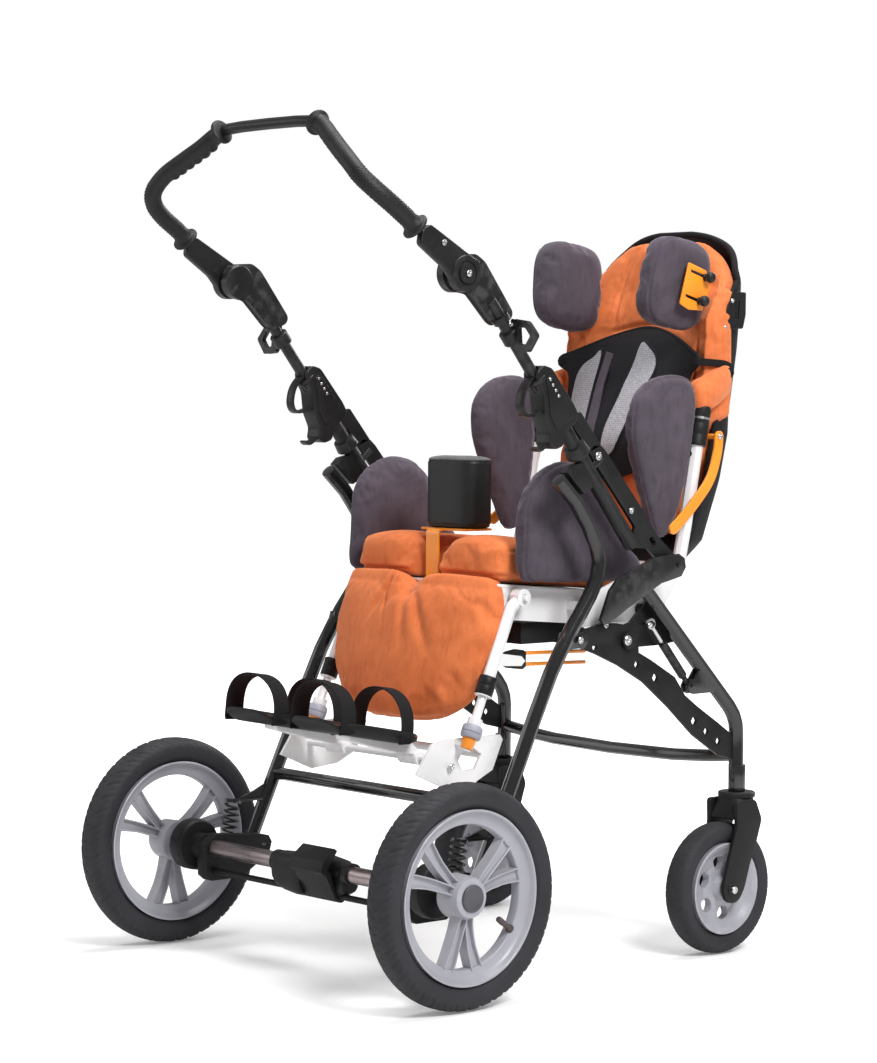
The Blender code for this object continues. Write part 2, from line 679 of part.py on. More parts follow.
def release_slider():
    shell = plate(
        FRAME_X, 0.033,
        [(0.1754, 0.8449), (0.1850, 0.8555), (0.2141, 0.8559), (0.2400, 0.8230), (0.2640, 0.7920),
         (0.2800, 0.7680), (0.2760, 0.7520), (0.2575, 0.7415), (0.2300, 0.7480), (0.2108, 0.7462), (0.1859, 0.7886)],
    )
    ring = tube(rounded([(FRAME_X, y, z) for y, z in (
        (0.2020, 0.7990), (0.1700, 0.7950), (0.1580, 0.7680), (0.1720, 0.7450), (0.1950, 0.7350), (0.2300, 0.7560))],
        0.012, 2), 0.0045, 1)
    room = rod(along(0.08), along(0.32), TUBE_RADIUS + 0.0005, 16)
    return cut(join(shell, ring), room)


def height_tube():
    inner = rod(along(0.120), along(0.405), INNER_RADIUS, 12)
    sleeve = plate(
        0.2457, 0.0123,
        [(0.1358, 0.9338), (0.1270, 0.9160), (0.1140, 0.9162), (0.0480, 0.9620), (0.0560, 1.0020), (0.0760, 1.0040)],
    )
    collar = rod(along(0.3767), along(0.400), 0.0140, 12)
    drum = rod((0.2360, HUB.y, HUB.z), (0.2520, HUB.y, HUB.z), HUB_RADIUS, 20)
    clamp = rod(along(0.3360), along(0.3510), 0.0125, 12)
    hook = tube([(0.2560, 0.1473, 0.9030), (0.2780, 0.1473, 0.9070), (0.2860, 0.1473, 0.9000),
                 (0.2850, 0.1473, 0.8830), (0.2740, 0.1473, 0.8810)], 0.0032, 1)
    return join(inner, collar, sleeve, drum, clamp, hook)


GRIP_PATH = [
    (0.2560, -0.0130, 1.0275), (0.2545, -0.0254, 1.0364), (0.2525, -0.0458, 1.0526), (0.2515, -0.0712, 1.0695),
    (0.2450, -0.0921, 1.0861), (0.2300, -0.1045, 1.1040), (0.2050, -0.1040, 1.1252), (0.1700, -0.0940, 1.1464),
    (0.1440, -0.0855, 1.1617), (0.1220, -0.0795, 1.1760), (0.1030, -0.0775, 1.1850),
]


def grip():
    handle = tube(GRIP_PATH[1:], 0.0142, 3)
    flare = rod(GRIP_PATH[0], GRIP_PATH[2], 0.0190, 14, 0.0150)
    arm = plate(
        0.2583, 0.0116,
        [(0.0400, 1.0030), (-0.0080, 1.0360), (-0.0220, 1.0330), (-0.0280, 1.0200), (0.0150, 0.9880), (0.0400, 0.9600)],
    )
    drum = rod((0.2523, HUB.y, HUB.z), (0.2700, HUB.y, HUB.z), HUB_RADIUS, 20)
    return join(handle, flare, arm, drum)


def push_bar():
    end = 0.1030 - 0.0035
    path = [(-end, -0.0770, 1.1860), (-0.06, -0.0765, 1.1880), (0, -0.0765, 1.1885), (0.06, -0.0765, 1.1880),
            (end, -0.0770, 1.1860)]
    bar = tube(path, 0.0082, 3)
    return bar


both(handle_tube, "handle_tube", "frame", (handle_body,))
for side, sign in SIDES:
    slide_body = body("release_slide_" + side, (sign * FRAME_X, 0.2266, 0.8000), handle_body)
    slider = release_slider()
    if sign < 0:
        moved(slider, MIRROR)
    finish(slider, "release_slider_" + side, "plastic", slide_body)
both(height_tube, "height_tube", "frame", (height_body,))
both(grip, "grip", "plastic", (bar_body,))
finish(push_bar(), "push_bar", "plastic", bar_body)


# Tilt frame and its gas strut
def tilt_frame():
    pieces = []
    for _, sign in SIDES:
        pieces.append(plate(
            sign * ARM_X, PLATE,
            [(0.3980, 0.4940), (0.4347, 0.5261), (0.4625, 0.5010), (0.4977, 0.4632), (0.4632, 0.4588),
             (0.4070, 0.4580), (0.3880, 0.4535), (0.3660, 0.4550), (0.3560, 0.4700), (0.3660, 0.4865)],
        ))
        pieces.append(pin(sign * 0.2345, sign * 0.2562, TILT_PIVOT, 0.0060, 12))
        pieces.append(pin(sign * 0.2549, sign * 0.2595, TILT_PIVOT, 0.0125, 12))
        pieces.append(pin(sign * 0.2304, sign * 0.2360, (0.4230, 0.5120), 0.0080, 10))
    pieces.append(pin(0.2345, 0.2592, STRUT_HIGH, 0.0030, 8))
    pieces.append(box((-0.140, 0.276, 0.462), (0.140, 0.402, 0.4925)))
    shaft = rod((-0.2355, *TILT_PIVOT), (0.2355, *TILT_PIVOT), 0.0125, 12)
    return join(shaft, *pieces)


def strut_line(distance):
    low, high = Vector(on_side(STRUT_LOW, FRAME_X)), Vector(on_side(STRUT_HIGH, FRAME_X))
    return low + (high - low).normalized() * distance


STRUT_LENGTH = (Vector(STRUT_HIGH) - Vector(STRUT_LOW)).length


def gas_strut():
    barrel = turned(
        [(0, 0.032), (0.0033, 0.032), (0.0033, 0.085), (0.0065, 0.085), (0.0065, 0.0205), (0.0038, 0.0165), (0.0038, 0.003),
         (0, 0.003)],
        12, strut_line(0), strut_line(1) - strut_line(0),
    )
    eye = pin(FRAME_X - 0.0035, FRAME_X + 0.0035, STRUT_LOW, 0.0068, 12)
    return cut(join(barrel, eye), pin(FRAME_X - 0.01, FRAME_X + 0.01, STRUT_LOW, 0.0036, 10))


def strut_rod():
    bar = rod(strut_line(0.056), strut_line(STRUT_LENGTH - 0.006), 0.0028, 10)
    eye = pin(FRAME_X - 0.0030, FRAME_X + 0.0030, STRUT_HIGH, 0.0082, 14)
    return cut(join(bar, eye), pin(FRAME_X - 0.01, FRAME_X + 0.01, STRUT_HIGH, 0.0050, 12))


finish(tilt_frame(), "tilt_frame", "plastic", seat_body)
finish(gas_strut(), "gas_strut", "steel", strut_body)
finish(strut_rod(), "strut_rod", "steel", rod_body)


# Seat: everything here is built level from the pan's front edge, then sloped back
SEAT_PLACE = Matrix.Translation(SEAT_FRONT) @ Matrix.Rotation(-SEAT_SLOPE, 4, "X")


def superellipse(angle, power):
    c, s = math.cos(angle), math.sin(angle)
    return math.copysign(abs(c) ** power, c), math.copysign(abs(s) ** power, s)


SLAB_RINGS = [(0, 1), (0.70, 1), (0.95, 0.8), (1, 0), (0.90, -1), (0, -1)]
PAD_RINGS = [(0, 1), (0.45, 1), (0.80, 0.97), (0.96, 0.62), (1, 0), (0.95, -0.62), (0.78, -0.97), (0, -1)]


def pad(half_width, half_length, thickness, crown=0.004, power=0.5, segments=18, rings=PAD_RINGS, shape=None):
    """A padded form lying flat on XY: a ball whose rings follow a squared outline and a rounded edge."""
    bm = bmesh.new()
    last = len(rings) - 1
    bmesh.ops.create_uvsphere(bm, u_segments=segments, v_segments=last, radius=1.0)
    for vert in bm.verts:
        x, y, z = vert.co
        ring = round(math.acos(max(-1.0, min(1.0, z))) * last / math.pi)
        scale, side = rings[ring]
        out_x, out_y = superellipse(math.atan2(y, x), power) if scale else (0, 0)
        px, py = scale * out_x, scale * out_y
        swell = crown * (1 - px * px) * (1 - py * py)
        pz = side * (thickness / 2) + (swell if side > 0 else -swell * 0.3)
        point = Vector((px * half_width, py * half_length, pz))
        vert.co = Vector(shape(point)) if shape else point
    return from_bmesh(bm)


def seat_pan():
    length = 0.286
    top = box((-PAN_HALF_WIDTH, 0, -0.004), (PAN_HALF_WIDTH, length, 0))
    pieces = [box((0.002 - PAN_HALF_WIDTH, 0.0006, -0.012), (PAN_HALF_WIDTH - 0.002, 0.0045, -0.001))]
    for _, sign in SIDES:
        low, high = sorted((sign * (PAN_HALF_WIDTH - 0.0040), sign * (PAN_HALF_WIDTH - 0.0006)))
        pieces.append(box((low, 0.0010, -0.050), (high, length - 0.001, -0.001)))
        low, high = sorted((sign * (PAN_HALF_WIDTH - 0.005), sign * 0.2240))
        pieces.append(box((low, 0.140, -0.030), (high, 0.182, -0.018)))
        low, high = sorted((sign * (PAN_HALF_WIDTH - 0.005), sign * 0.1980))
        pieces.append(box((low, 0.262, -0.024), (high, 0.284, -0.010)))
    tray = moved(join(top, *pieces), SEAT_PLACE)
    fittings = []
    for _, sign in SIDES:
        fittings.append(plate(
            sign * 0.2260, 0.008,
            [(0.3160, 0.4900), (0.3380, 0.5390), (0.3850, 0.5550), (0.4460, 0.5400), (0.4420, 0.5260), (0.4090, 0.4950),
             (0.3520, 0.4945)],
        ))
        fittings.append(plate(
            sign * 0.1960, 0.005,
            [(0.4800, 0.5050), (0.5060, 0.5080), (0.5300, 0.5390), (0.5310, 0.5530), (0.5200, 0.5600), (0.5090, 0.5560),
             (0.4780, 0.5230)],
        ))
        fittings.append(pin(sign * 0.1665, sign * 0.1970, RECLINE_PIVOT, 0.0045, 10))
        fittings.append(pin(sign * (PAN_HALF_WIDTH - 0.0022), sign * (LEG_X + 0.015), LEG_PIVOT, 0.0045, 10))
    return join(tray, *fittings)


CUSHION_RINGS = [(0, 1), (0.3, 1), (0.58, 1), (0.82, 0.97), (0.96, 0.66), (1, 0.05), (0.97, -0.62), (0.84, -0.98), (0, -1)]


def seat_cushion():
    def shape(p):
        # thigh troughs either side of a raised middle and raised outer rims
        x = p.x / PAN_HALF_WIDTH
        wave = 0.010 * math.cos(math.pi * 2 * abs(x)) * (1 - 0.5 * abs(p.y) / 0.14)
        lift = 0.5 + p.z / 0.0596
        return p.x, p.y, p.z + wave * max(0, min(1, lift))
    block = pad(PAN_HALF_WIDTH + 0.001, 0.140, 0.0596, 0.006, 0.28, 28, CUSHION_RINGS, shape)
    moved(block, SEAT_PLACE @ Matrix.Translation((0, 0.136, 0.0321)))
    notch = box((-0.021, 0.180, 0.530), (0.021, 0.2495, 0.640))
    return cut(block, notch)


def pommel_bracket():
    outline = [(0.2200, 0.5515), (0.2200, 0.5800), (0.2250, 0.6050), (0.2370, 0.6260), (0.2730, 0.6420), (0.2750, 0.6370),
               (0.2420, 0.6215), (0.2300, 0.6020), (0.2260, 0.5800), (0.2260, 0.5508)]
    return plate(0, 0.036, outline)


def pommel():
    def shape(p):
        # narrower behind, towards the child
        return p.x * (1 - 2.4 * max(0, p.y)), p.y, p.z
    knob = pad(0.049, 0.050, 0.094, 0.006, 0.72, 16, PAD_RINGS, shape)
    moved(knob, Matrix.Translation((0, 0.285, 0.6780)))
    slot = box((-0.0183, 0.2, 0.6), (0.0183, 0.2756, 0.6426))
    return cut(knob, slot)


def hip_pad():
    block = pad(0.068, 0.080, 0.034, 0.004, 0.6, 16)
    # stands on edge: its face looks inwards
    moved(block, Matrix.Translation((HIP_X, 0.318, 0.6400)) @ Matrix.Rotation(math.radians(-90), 4, "Y")
          @ Matrix.Rotation(math.radians(90), 4, "Z"))
    post = box((HIP_X + 0.0040, 0.305, 0.5350), (HIP_X + 0.0080, 0.331, 0.6000))
    foot = box((PAN_HALF_WIDTH + GAP, 0.3055, 0.5356), (HIP_X + 0.0076, 0.3305, 0.5390))
    return join(block, post, foot)


finish(seat_pan(), "seat_pan", "white", seat_body)
finish(seat_cushion(), "seat_cushion", "orange_cloth", seat_body)
pommel_body = body("pommel_lift", (0, 0.285, 0.640), seat_body)
finish(pommel_bracket(), "pommel_bracket", "orange", seat_body)
finish(pommel(), "pommel", "leather", pommel_body)
for side, sign in SIDES:
    hip_body = body("hip_pad_slide_" + side, (sign * HIP_X, 0.318, 0.640), seat_body)
    block = hip_pad()
    if sign < 0:
        moved(block, MIRROR)
    finish(block, "hip_pad_" + side, "cloth", hip_body)


# Legrest
def leg_point(distance, x=LEG_X):
    """A point on the hanger's straight part, distance below its bend."""
    start = Vector(on_side(LEG_BEND, x))
    return start + LEG_DOWN * distance


HANGER_END = 0.128
LEG_BORE = 0.0073


def leg_hanger():
    tubes = []
    for _, sign in SIDES:
        x = sign * LEG_X
        path = rounded([Vector(on_side(LEG_PIVOT, x)), leg_point(0, x), leg_point(HANGER_END, x)], 0.02, 3)
        arm = tube(path, 0.0090, 2)
        boss = pin(x - 0.0085, x + 0.0085, LEG_PIVOT, 0.0130, 10)
        collar = rod(leg_point(HANGER_END - 0.018, x), leg_point(HANGER_END + 0.004, x), 0.0122, 10)
        stay = plate(x, 0.0060, [(0.1960, 0.4560), (0.1900, 0.4380), (0.2460, 0.4350), (0.2530, 0.4420), (0.2460, 0.4490)])
        bore = rod(leg_point(0.022, x), leg_point(HANGER_END + 0.02, x), LEG_BORE, 8)
        hole = pin(x - 0.02, x + 0.02, LEG_PIVOT, 0.0052, 8)
        tubes.append(cut(join(arm, boss, collar, stay), bore, hole))
    bar = rod((-LEG_X, *LEG_BAR), (LEG_X, *LEG_BAR), 0.0060, 10)
    mounts = [rod((sign * 0.06, 0.2023, 0.4474), (sign * 0.06, 0.2450, 0.4425), 0.0055, 8) for _, sign in SIDES]
    return join(bar, *tubes, *mounts)


def legrest_strut():
    x = LEG_X - 0.0230
    hub = pin(x - 0.0100, x + 0.0100, LEG_BAR, 0.0110, 12)
    head = plate(x, 0.0190, [(0.2460, 0.4300), (0.2640, 0.4280), (0.2700, 0.4320), (0.2700, 0.4530), (0.2640, 0.4560), (0.2460, 0.4535)])
    rods = [rod((x, 0.2600, z + 0.0005), (x, 0.3960, z - 0.0030), 0.0028, 8) for z in (0.4340, 0.4500)]
    hole = pin(x - 0.03, x + 0.03, LEG_BAR, 0.0064, 12)
    return cut(join(head, hub, *rods), hole)


def leg_extension():
    pieces = []
    for _, sign in SIDES:
        x = sign * LEG_X
        pieces.append(rod(leg_point(0.070, x), leg_point(0.2125, x), 0.0065, 10))
        pieces.append(rod(leg_point(0.165, x), leg_point(0.180, x), 0.0105, 10))
        pieces.append(plate(
            sign * (LEG_X - 0.0210), 0.0050,
            [(0.0980, 0.3320), (0.1300, 0.3370), (0.2260, 0.3370), (0.2310, 0.3300), (0.2120, 0.2880), (0.1740, 0.2705),
             (0.1270, 0.2665), (0.0690, 0.2910)],
            [[(0.1460, 0.3050), (0.1560, 0.2900), (0.1780, 0.2920), (0.1900, 0.3120), (0.1750, 0.3220), (0.1560, 0.3200)]],
        ))
        foot = leg_point(0.204, x)
        pieces.append(rod(foot, (sign * (LEG_X - 0.0218), foot.y, foot.z), 0.0075, 8))
    reach = LEG_X - 0.0220
    bars = [rod((-reach, *spot), (reach, *spot), r, 10) for spot, r in ((FOOT_PIVOT, 0.0050), ((0.2050, 0.3090), 0.0060))]
    return join(bars[0], bars[1], *pieces)


def calf_pad():
    half = PAN_HALF_WIDTH + 0.010
    def shape(p):
        # a shield: narrower below, its sides bent back behind the calves, two shallow calf troughs
        drop = 0.5 - p.y / 0.19
        x = p.x * (1 - 0.20 * drop * drop)
        trough = 0.006 * math.cos(2 * math.pi * p.x / half) if p.z > 0 else 0
        return x, p.y, p.z - 0.018 * (p.x / half) ** 2 + trough
    block = pad(half, 0.0880, 0.035, 0.004, 0.42, 24, CUSHION_RINGS, shape)
    up = Vector((0, 0.2012, 0.9796))
    front = Vector((1, 0, 0)).cross(up)
    place_at = Matrix.Translation((0, 0.1750, 0.4400)) @ Matrix((
        (1, up.x, front.x, 0), (0, up.y, front.y, 0), (0, up.z, front.z, 0), (0, 0, 0, 1)))
    return moved(block, place_at)


def strip(path, across, thickness):
    """A flat strip of a given thickness whose middle line follows a path; across is its width as a vector."""
    bm = bmesh.new()
    verts = [bm.verts.new(point) for point in path]
    edges = [bm.edges.new(pair) for pair in zip(verts, verts[1:])]
    made = bmesh.ops.extrude_edge_only(bm, edges=edges)["geom"]
    bmesh.ops.translate(bm, vec=across, verts=[g for g in made if isinstance(g, bmesh.types.BMVert)])
    obj = from_bmesh(bm)
    solid = obj.modifiers.new("thickness", "SOLIDIFY")
    solid.thickness = thickness
    solid.offset = 0
    return baked(obj)


FOOT_TILT = math.radians(-10.6)
FOOT_PLACE = Matrix.Translation((0, 0.022, 0.345)) @ Matrix.Rotation(FOOT_TILT, 4, "X")


def footplate():
    def shape(p):
        edge = max(abs(p.x) / 0.058, abs(p.y) / 0.085)
        return p.x, p.y, p.z + 0.012 * max(0, edge - 0.72) / 0.28
    sole = pad(0.058, 0.085, 0.010, 0.001, 0.45, 14, SLAB_RINGS, shape)
    moved(sole, Matrix.Translation((0.074, 0, 0)))
    straps = []
    for y, width, height in ((-0.058, 0.034, 0.060), (0.052, 0.026, 0.066)):
        path = [(0.074 + 0.050 * math.cos(a), y, 0.002 + height * math.sin(a) ** 0.7)
                for a in np.linspace(0.03, math.pi - 0.03, 7)]
        straps.append(strip(path, (0, width, 0), 0.0028))
    upper = moved(join(sole, *straps), FOOT_PLACE)
    cradle = plate(
        0.080, 0.030,
        [(0.1150, 0.3110), (0.1280, 0.3120), (0.1040, 0.3340), (0.0400, 0.3430), (-0.0050, 0.3520), (-0.0050, 0.3400),
         (0.0450, 0.3260), (0.0900, 0.3150)],
    )
    boss = pin(0.060, 0.100, FOOT_PIVOT, 0.0100, 10)
    return cut(join(cradle, boss, upper), pin(0.05, 0.11, FOOT_PIVOT, 0.0056, 8))


strut_hinge = body("legrest_strut_axis", (0.148, *LEG_BAR), leg_body)
finish(leg_hanger(), "leg_hanger", "white", leg_body)
finish(legrest_strut(), "legrest_strut", "orange", strut_hinge)
finish(leg_extension(), "leg_extension", "steel", leg_slide)
finish(calf_pad(), "calf_pad", "orange_cloth", leg_body)
for side, sign in SIDES:
    foot_body = body("footplate_axis_" + side, (sign * 0.080, *FOOT_PIVOT), leg_slide)
    shoe = footplate()
    if sign < 0:
        moved(shoe, MIRROR)
    finish(shoe, "footplate_" + side, "plastic", foot_body)


# Backrest: the shell's edge seen from the side, from its foot to its top
EDGE_Z = (0.544, 0.603, 0.693, 0.784, 0.890, 0.966, 1.020, 1.053)
EDGE_Y = (0.606, 0.648, 0.684, 0.706, 0.724, 0.731, 0.733, 0.728)
HALF_Z = (0.544, 0.600, 0.960, 1.000, 1.035, 1.053)
HALF_X = (0.120, 0.150, 0.150, 0.146, 0.132, 0.112)
SHELL_THICKNESS = 0.005


def shell_y(z, x=0.0):
    """How far back the shell's middle surface lies; its sides wrap forward."""
    half = float(np.interp(z, HALF_Z, HALF_X))
    wrap = max(0.0, (abs(x) - (half - 0.042)) / 0.042)
    return float(np.interp(z, EDGE_Z, EDGE_Y)) + 0.006 - 0.050 * wrap ** 2


def back_shell():
    levels = (0.546, 0.575, 0.610, 0.670, 0.740, 0.810, 0.880, 0.950, 1.000, 1.030, 1.052)
    across = (-1, -0.92, -0.82, -0.70, -0.35, 0, 0.35, 0.70, 0.82, 0.92, 1)
    bm = bmesh.new()
    bmesh.ops.create_grid(bm, x_segments=len(across) - 1, y_segments=len(levels) - 1, size=1.0)
    for vert in bm.verts:
        column = round((vert.co.x + 1) / 2 * (len(across) - 1))
        row = round((vert.co.y + 1) / 2 * (len(levels) - 1))
        z = levels[row]
        x = across[column] * float(np.interp(z, HALF_Z, HALF_X))
        vert.co = (x, shell_y(z, x), z)
    sheet = from_bmesh(bm)
    solid = sheet.modifiers.new("thickness", "SOLIDIFY")
    solid.thickness = SHELL_THICKNESS
    solid.offset = 0
    return baked(sheet)


CUSHION_FRONT_Z = (0.600, 0.660, 0.744, 0.830, 0.921, 0.980, 1.045)
CUSHION_FRONT_Y = (0.588, 0.594, 0.606, 0.640, 0.680, 0.694, 0.700)


def cushion_front(z):
    return float(np.interp(z, CUSHION_FRONT_Z, CUSHION_FRONT_Y))


def back_cushion():
    half_height = 0.220
    def shape(p):
        z = 0.826 + p.y
        width = float(np.interp(z, HALF_Z, HALF_X)) - 0.016 - (0.006 if z > 0.93 else 0)
        x = p.x * width
        room = 0.0052 + 0.0048 * float(np.interp(z, (0.930, 0.960), (0, 1)))
        back = shell_y(z, x) - SHELL_THICKNESS / 2 - room
        bolster = 0.012 * max(0.0, (abs(p.x) - 0.62) / 0.38)
        front = cushion_front(z) - bolster + 0.010 * math.exp(-(((z - 0.915) / 0.012) ** 2))
        return x, back + (front - back) * (0.5 + p.z / 0.04), z
    rings = [(0, 1), (0.35, 1), (0.62, 1), (0.84, 0.96), (0.96, 0.66), (1, 0.05), (0.96, -0.66), (0.84, -1), (0.4, -1), (0, -1)]
    return pad(1.0, half_height, 0.04, 0.0, 0.34, 26, rings, shape)


def harness_vest():
    def shape(p):
        z = 0.818 + p.y
        narrow = 1 - 0.30 * max(0.0, (p.y + 0.02) / 0.13)
        x = p.x * narrow
        return x, cushion_front(z) - 0.0122 + 0.03 * (x / 0.10) ** 2 * 0.2 - p.z, z
    return pad(0.098, 0.122, 0.014, 0.003, 0.5, 20, PAD_RINGS, shape)


def back_frame():
    pieces = []
    for _, sign in SIDES:
        x = sign * 0.175
        path = rounded([on_side(p, x) for p in ((0.5230, 0.5480), (0.5590, 0.5580), (0.5745, 0.6250), (0.6140, 0.8290))],
                       0.02, 2)
        arm = tube(path, 0.0100, 2)
        boss = pin(x - 0.0082, x + 0.0105, RECLINE_PIVOT, 0.0125, 10)
        collar = rod((x, 0.6015, 0.7650), (x, 0.6088, 0.8030), 0.0135, 10)
        hole = pin(x - 0.02, x + 0.02, RECLINE_PIVOT, 0.0052, 8)
        side_plate = plate(
            sign * 0.1665, 0.0060,
            [(0.6000, 0.7960), (0.6180, 0.7930), (0.6690, 0.8400), (0.6810, 0.8500), (0.6760, 0.8620), (0.6640, 0.8610),
             (0.6100, 0.8240)],
        )
        bolt = pin(sign * 0.1532, sign * 0.1670, (0.6715, 0.8520), 0.0055, 8)
        pieces.append(cut(join(arm, boss, collar, side_plate, bolt), hole))
    bar = rod((-0.175, 0.5600, 0.5640), (0.175, 0.5600, 0.5640), 0.0070, 10)
    return join(bar, *pieces)


def back_brace():
    middle = [(0.6365, 0.7680), (0.6330, 0.7460), (0.6240, 0.7190), (0.6050, 0.6870), (0.5750, 0.6580), (0.5290, 0.6260)]
    blade = strip([(0.2000, y, z) for y, z in middle], (-0.0040, 0, 0), 0.0150)
    upper = pin(0.1535, 0.1990, (0.6340, 0.7560), 0.0045, 8)
    lower = pin(0.1854, 0.1990, (0.5800, 0.6612), 0.0045, 8)
    return join(blade, upper, lower)


def lateral_pad():
    lean = math.radians(11)
    face = pad(0.044, 0.112, 0.026, 0.004, 0.55, 16)
    turn = Matrix.Rotation(math.radians(-90), 4, "Y") @ Matrix.Rotation(math.radians(90), 4, "Z")
    moved(face, Matrix.Translation((0.1670, 0.5235, 0.7360)) @ Matrix.Rotation(-lean, 4, "X") @ turn)
    arm = box((0.1690, 0.5400, 0.7230), (0.1750, 0.5828, 0.7430))
    return join(face, arm)


def head_pad():
    face = pad(0.060, 0.066, 0.028, 0.004, 0.6, 16)
    turn = Matrix.Rotation(math.radians(-90), 4, "Y") @ Matrix.Rotation(math.radians(90), 4, "Z")
    moved(face, Matrix.Translation((0.1130, 0.6170, 0.9930)) @ turn)
    bolts = [pin(0.1150, 0.1369, (y, 0.9850), 0.0060, 8) for y in (0.632, 0.656)]
    return join(face, *bolts)


def head_bracket():
    """Two side plates joined by a band that runs between the shell and the cushion, parallel to the shell."""
    pieces = []
    for _, sign in SIDES:
        pieces.append(plate(
            sign * 0.1395, 0.0045,
            [(0.6200, 0.9650), (0.6880, 0.9650), (0.6880, 0.9960), (0.6640, 1.0150), (0.6200, 1.0150)],
        ))
        for y in (0.632, 0.660):
            pieces.append(pin(sign * 0.1400, sign * 0.1530, (y, 0.9850), 0.0090, 8))
    half = float(np.interp(0.990, HALF_Z, HALF_X))
    path = []
    for share in (-1, -0.92, -0.82, -0.70, 0.70, 0.82, 0.92, 1):
        x = share * half
        slope = (shell_y(0.990, x + 0.001) - shell_y(0.990, x - 0.001)) / 0.002
        inward = Vector((slope, -1)).normalized() * (SHELL_THICKNESS / 2 + 0.004)
        path.append((x + inward.x, shell_y(0.990, x) + inward.y, 0.962))
    band = strip(path, (0, 0, 0.036), 0.0028)
    return join(band, *pieces)


finish(back_shell(), "back_shell", "plastic", back_body)
finish(back_cushion(), "back_cushion", "orange_cloth", back_body)
finish(harness_vest(), "harness_vest", "mesh", back_body)
finish(back_frame(), "back_frame", "white", back_body)
both(back_brace, "back_brace", "orange", (back_body,))
finish(head_bracket(), "head_bracket", "orange", back_body)
for side, sign in SIDES:
    for make, name, spot in ((lateral_pad, "lateral_pad", (0.1670, 0.5235, 0.7360)), (head_pad, "head_pad", (0.1130, 0.6170, 0.9930))):
        slide = body(name + "_slide_" + side, (sign * spot[0], spot[1], spot[2]), back_body)
        block = make()
        if sign < 0:
            moved(block, MIRROR)
        finish(block, name + "_" + side, "cloth", slide)
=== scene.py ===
# Paediatric rehab buggy, its seat unit turned to the pusher: finishes, soft goods and small fittings
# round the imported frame. Metres, +Z up, +Y the way the chassis travels, +X the side nearest the camera.
import json
import math
import bmesh
import bpy
import numpy as np
from mathutils import Matrix, Vector

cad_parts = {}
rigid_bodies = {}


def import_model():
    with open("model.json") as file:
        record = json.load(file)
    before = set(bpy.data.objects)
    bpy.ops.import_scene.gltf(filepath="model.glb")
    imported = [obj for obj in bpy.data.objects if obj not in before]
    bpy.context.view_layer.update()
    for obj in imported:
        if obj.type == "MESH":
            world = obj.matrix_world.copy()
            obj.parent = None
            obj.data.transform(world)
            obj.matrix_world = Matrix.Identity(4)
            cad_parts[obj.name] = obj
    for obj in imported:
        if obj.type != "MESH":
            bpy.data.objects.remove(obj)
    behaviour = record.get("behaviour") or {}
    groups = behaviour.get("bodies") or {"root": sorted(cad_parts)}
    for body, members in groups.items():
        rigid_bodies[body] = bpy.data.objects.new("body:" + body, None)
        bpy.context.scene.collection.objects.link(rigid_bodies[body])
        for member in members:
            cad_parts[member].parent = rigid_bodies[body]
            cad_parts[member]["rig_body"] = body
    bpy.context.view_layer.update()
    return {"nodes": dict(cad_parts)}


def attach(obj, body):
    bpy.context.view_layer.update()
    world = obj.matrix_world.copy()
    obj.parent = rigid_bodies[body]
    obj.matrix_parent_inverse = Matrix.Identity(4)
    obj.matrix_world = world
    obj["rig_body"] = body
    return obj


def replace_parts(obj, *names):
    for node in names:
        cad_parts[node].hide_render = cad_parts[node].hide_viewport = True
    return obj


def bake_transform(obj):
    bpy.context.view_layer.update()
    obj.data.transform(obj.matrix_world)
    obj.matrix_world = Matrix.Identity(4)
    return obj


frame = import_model()
nodes = frame["nodes"]

sides = (("right", 1), ("left", -1))
axleY = -0.29372  # the rear axle, seen from the middle of the floor box


def at(y, z, x=0.0):
    # a point of the side view, y and z measured from the floor under the rear axle
    return np.array((x, y + axleY, z))


def unit(v):
    v = np.asarray(v, float)
    return v / np.linalg.norm(v, axis=-1, keepdims=True)


# Mesh tools


def gridFaces(rows, columns, wrapRows=False, wrapColumns=False):
    # quads between neighbours of a grid of points; a wrapped side joins its last line to its first
    r = np.arange(rows if wrapRows else rows - 1)[:, None]
    c = np.arange(columns if wrapColumns else columns - 1)[None, :]
    r2, c2 = (r + 1) % rows, (c + 1) % columns
    return np.stack([r * columns + c, r2 * columns + c, r2 * columns + c2, r * columns + c2], -1).reshape(-1, 4)


def linked(name, data):
    obj = bpy.data.objects.new(name, data)
    bpy.context.scene.collection.objects.link(obj)
    return obj


def outwards(mesh, merge=None):
    # the faces turned to point out, close points first made one
    bm = bmesh.new()
    bm.from_mesh(mesh)
    if merge:
        bmesh.ops.remove_doubles(bm, verts=bm.verts, dist=merge)
    bmesh.ops.recalc_face_normals(bm, faces=bm.faces)
    bm.to_mesh(mesh)
    bm.free()


def tubeFaces(rows, columns, closed=False):
    # the quads of a tube of rings, and a face over each end unless the tube runs back into itself
    faces = gridFaces(rows, columns, wrapRows=closed, wrapColumns=True).tolist()
    last = (rows - 1) * columns
    return faces if closed else faces + [list(range(columns))[::-1], list(range(last, last + columns))]


def meshObject(name, points, faces, flat=35, closed=True):
    # flat is the angle in degrees past which an edge stays sharp
    mesh = bpy.data.meshes.new(name)
    mesh.from_pydata(np.asarray(points, float).reshape(-1, 3).tolist(), [], [list(map(int, f)) for f in faces])
    if closed:
        outwards(mesh, 1e-6)
    obj = linked(name, mesh)
    shade(obj, flat)
    return obj


def shade(obj, flat=35):
    obj.data.polygons.foreach_set("use_smooth", np.ones(len(obj.data.polygons), bool))
    obj.data.set_sharp_from_angle(angle=math.radians(flat))


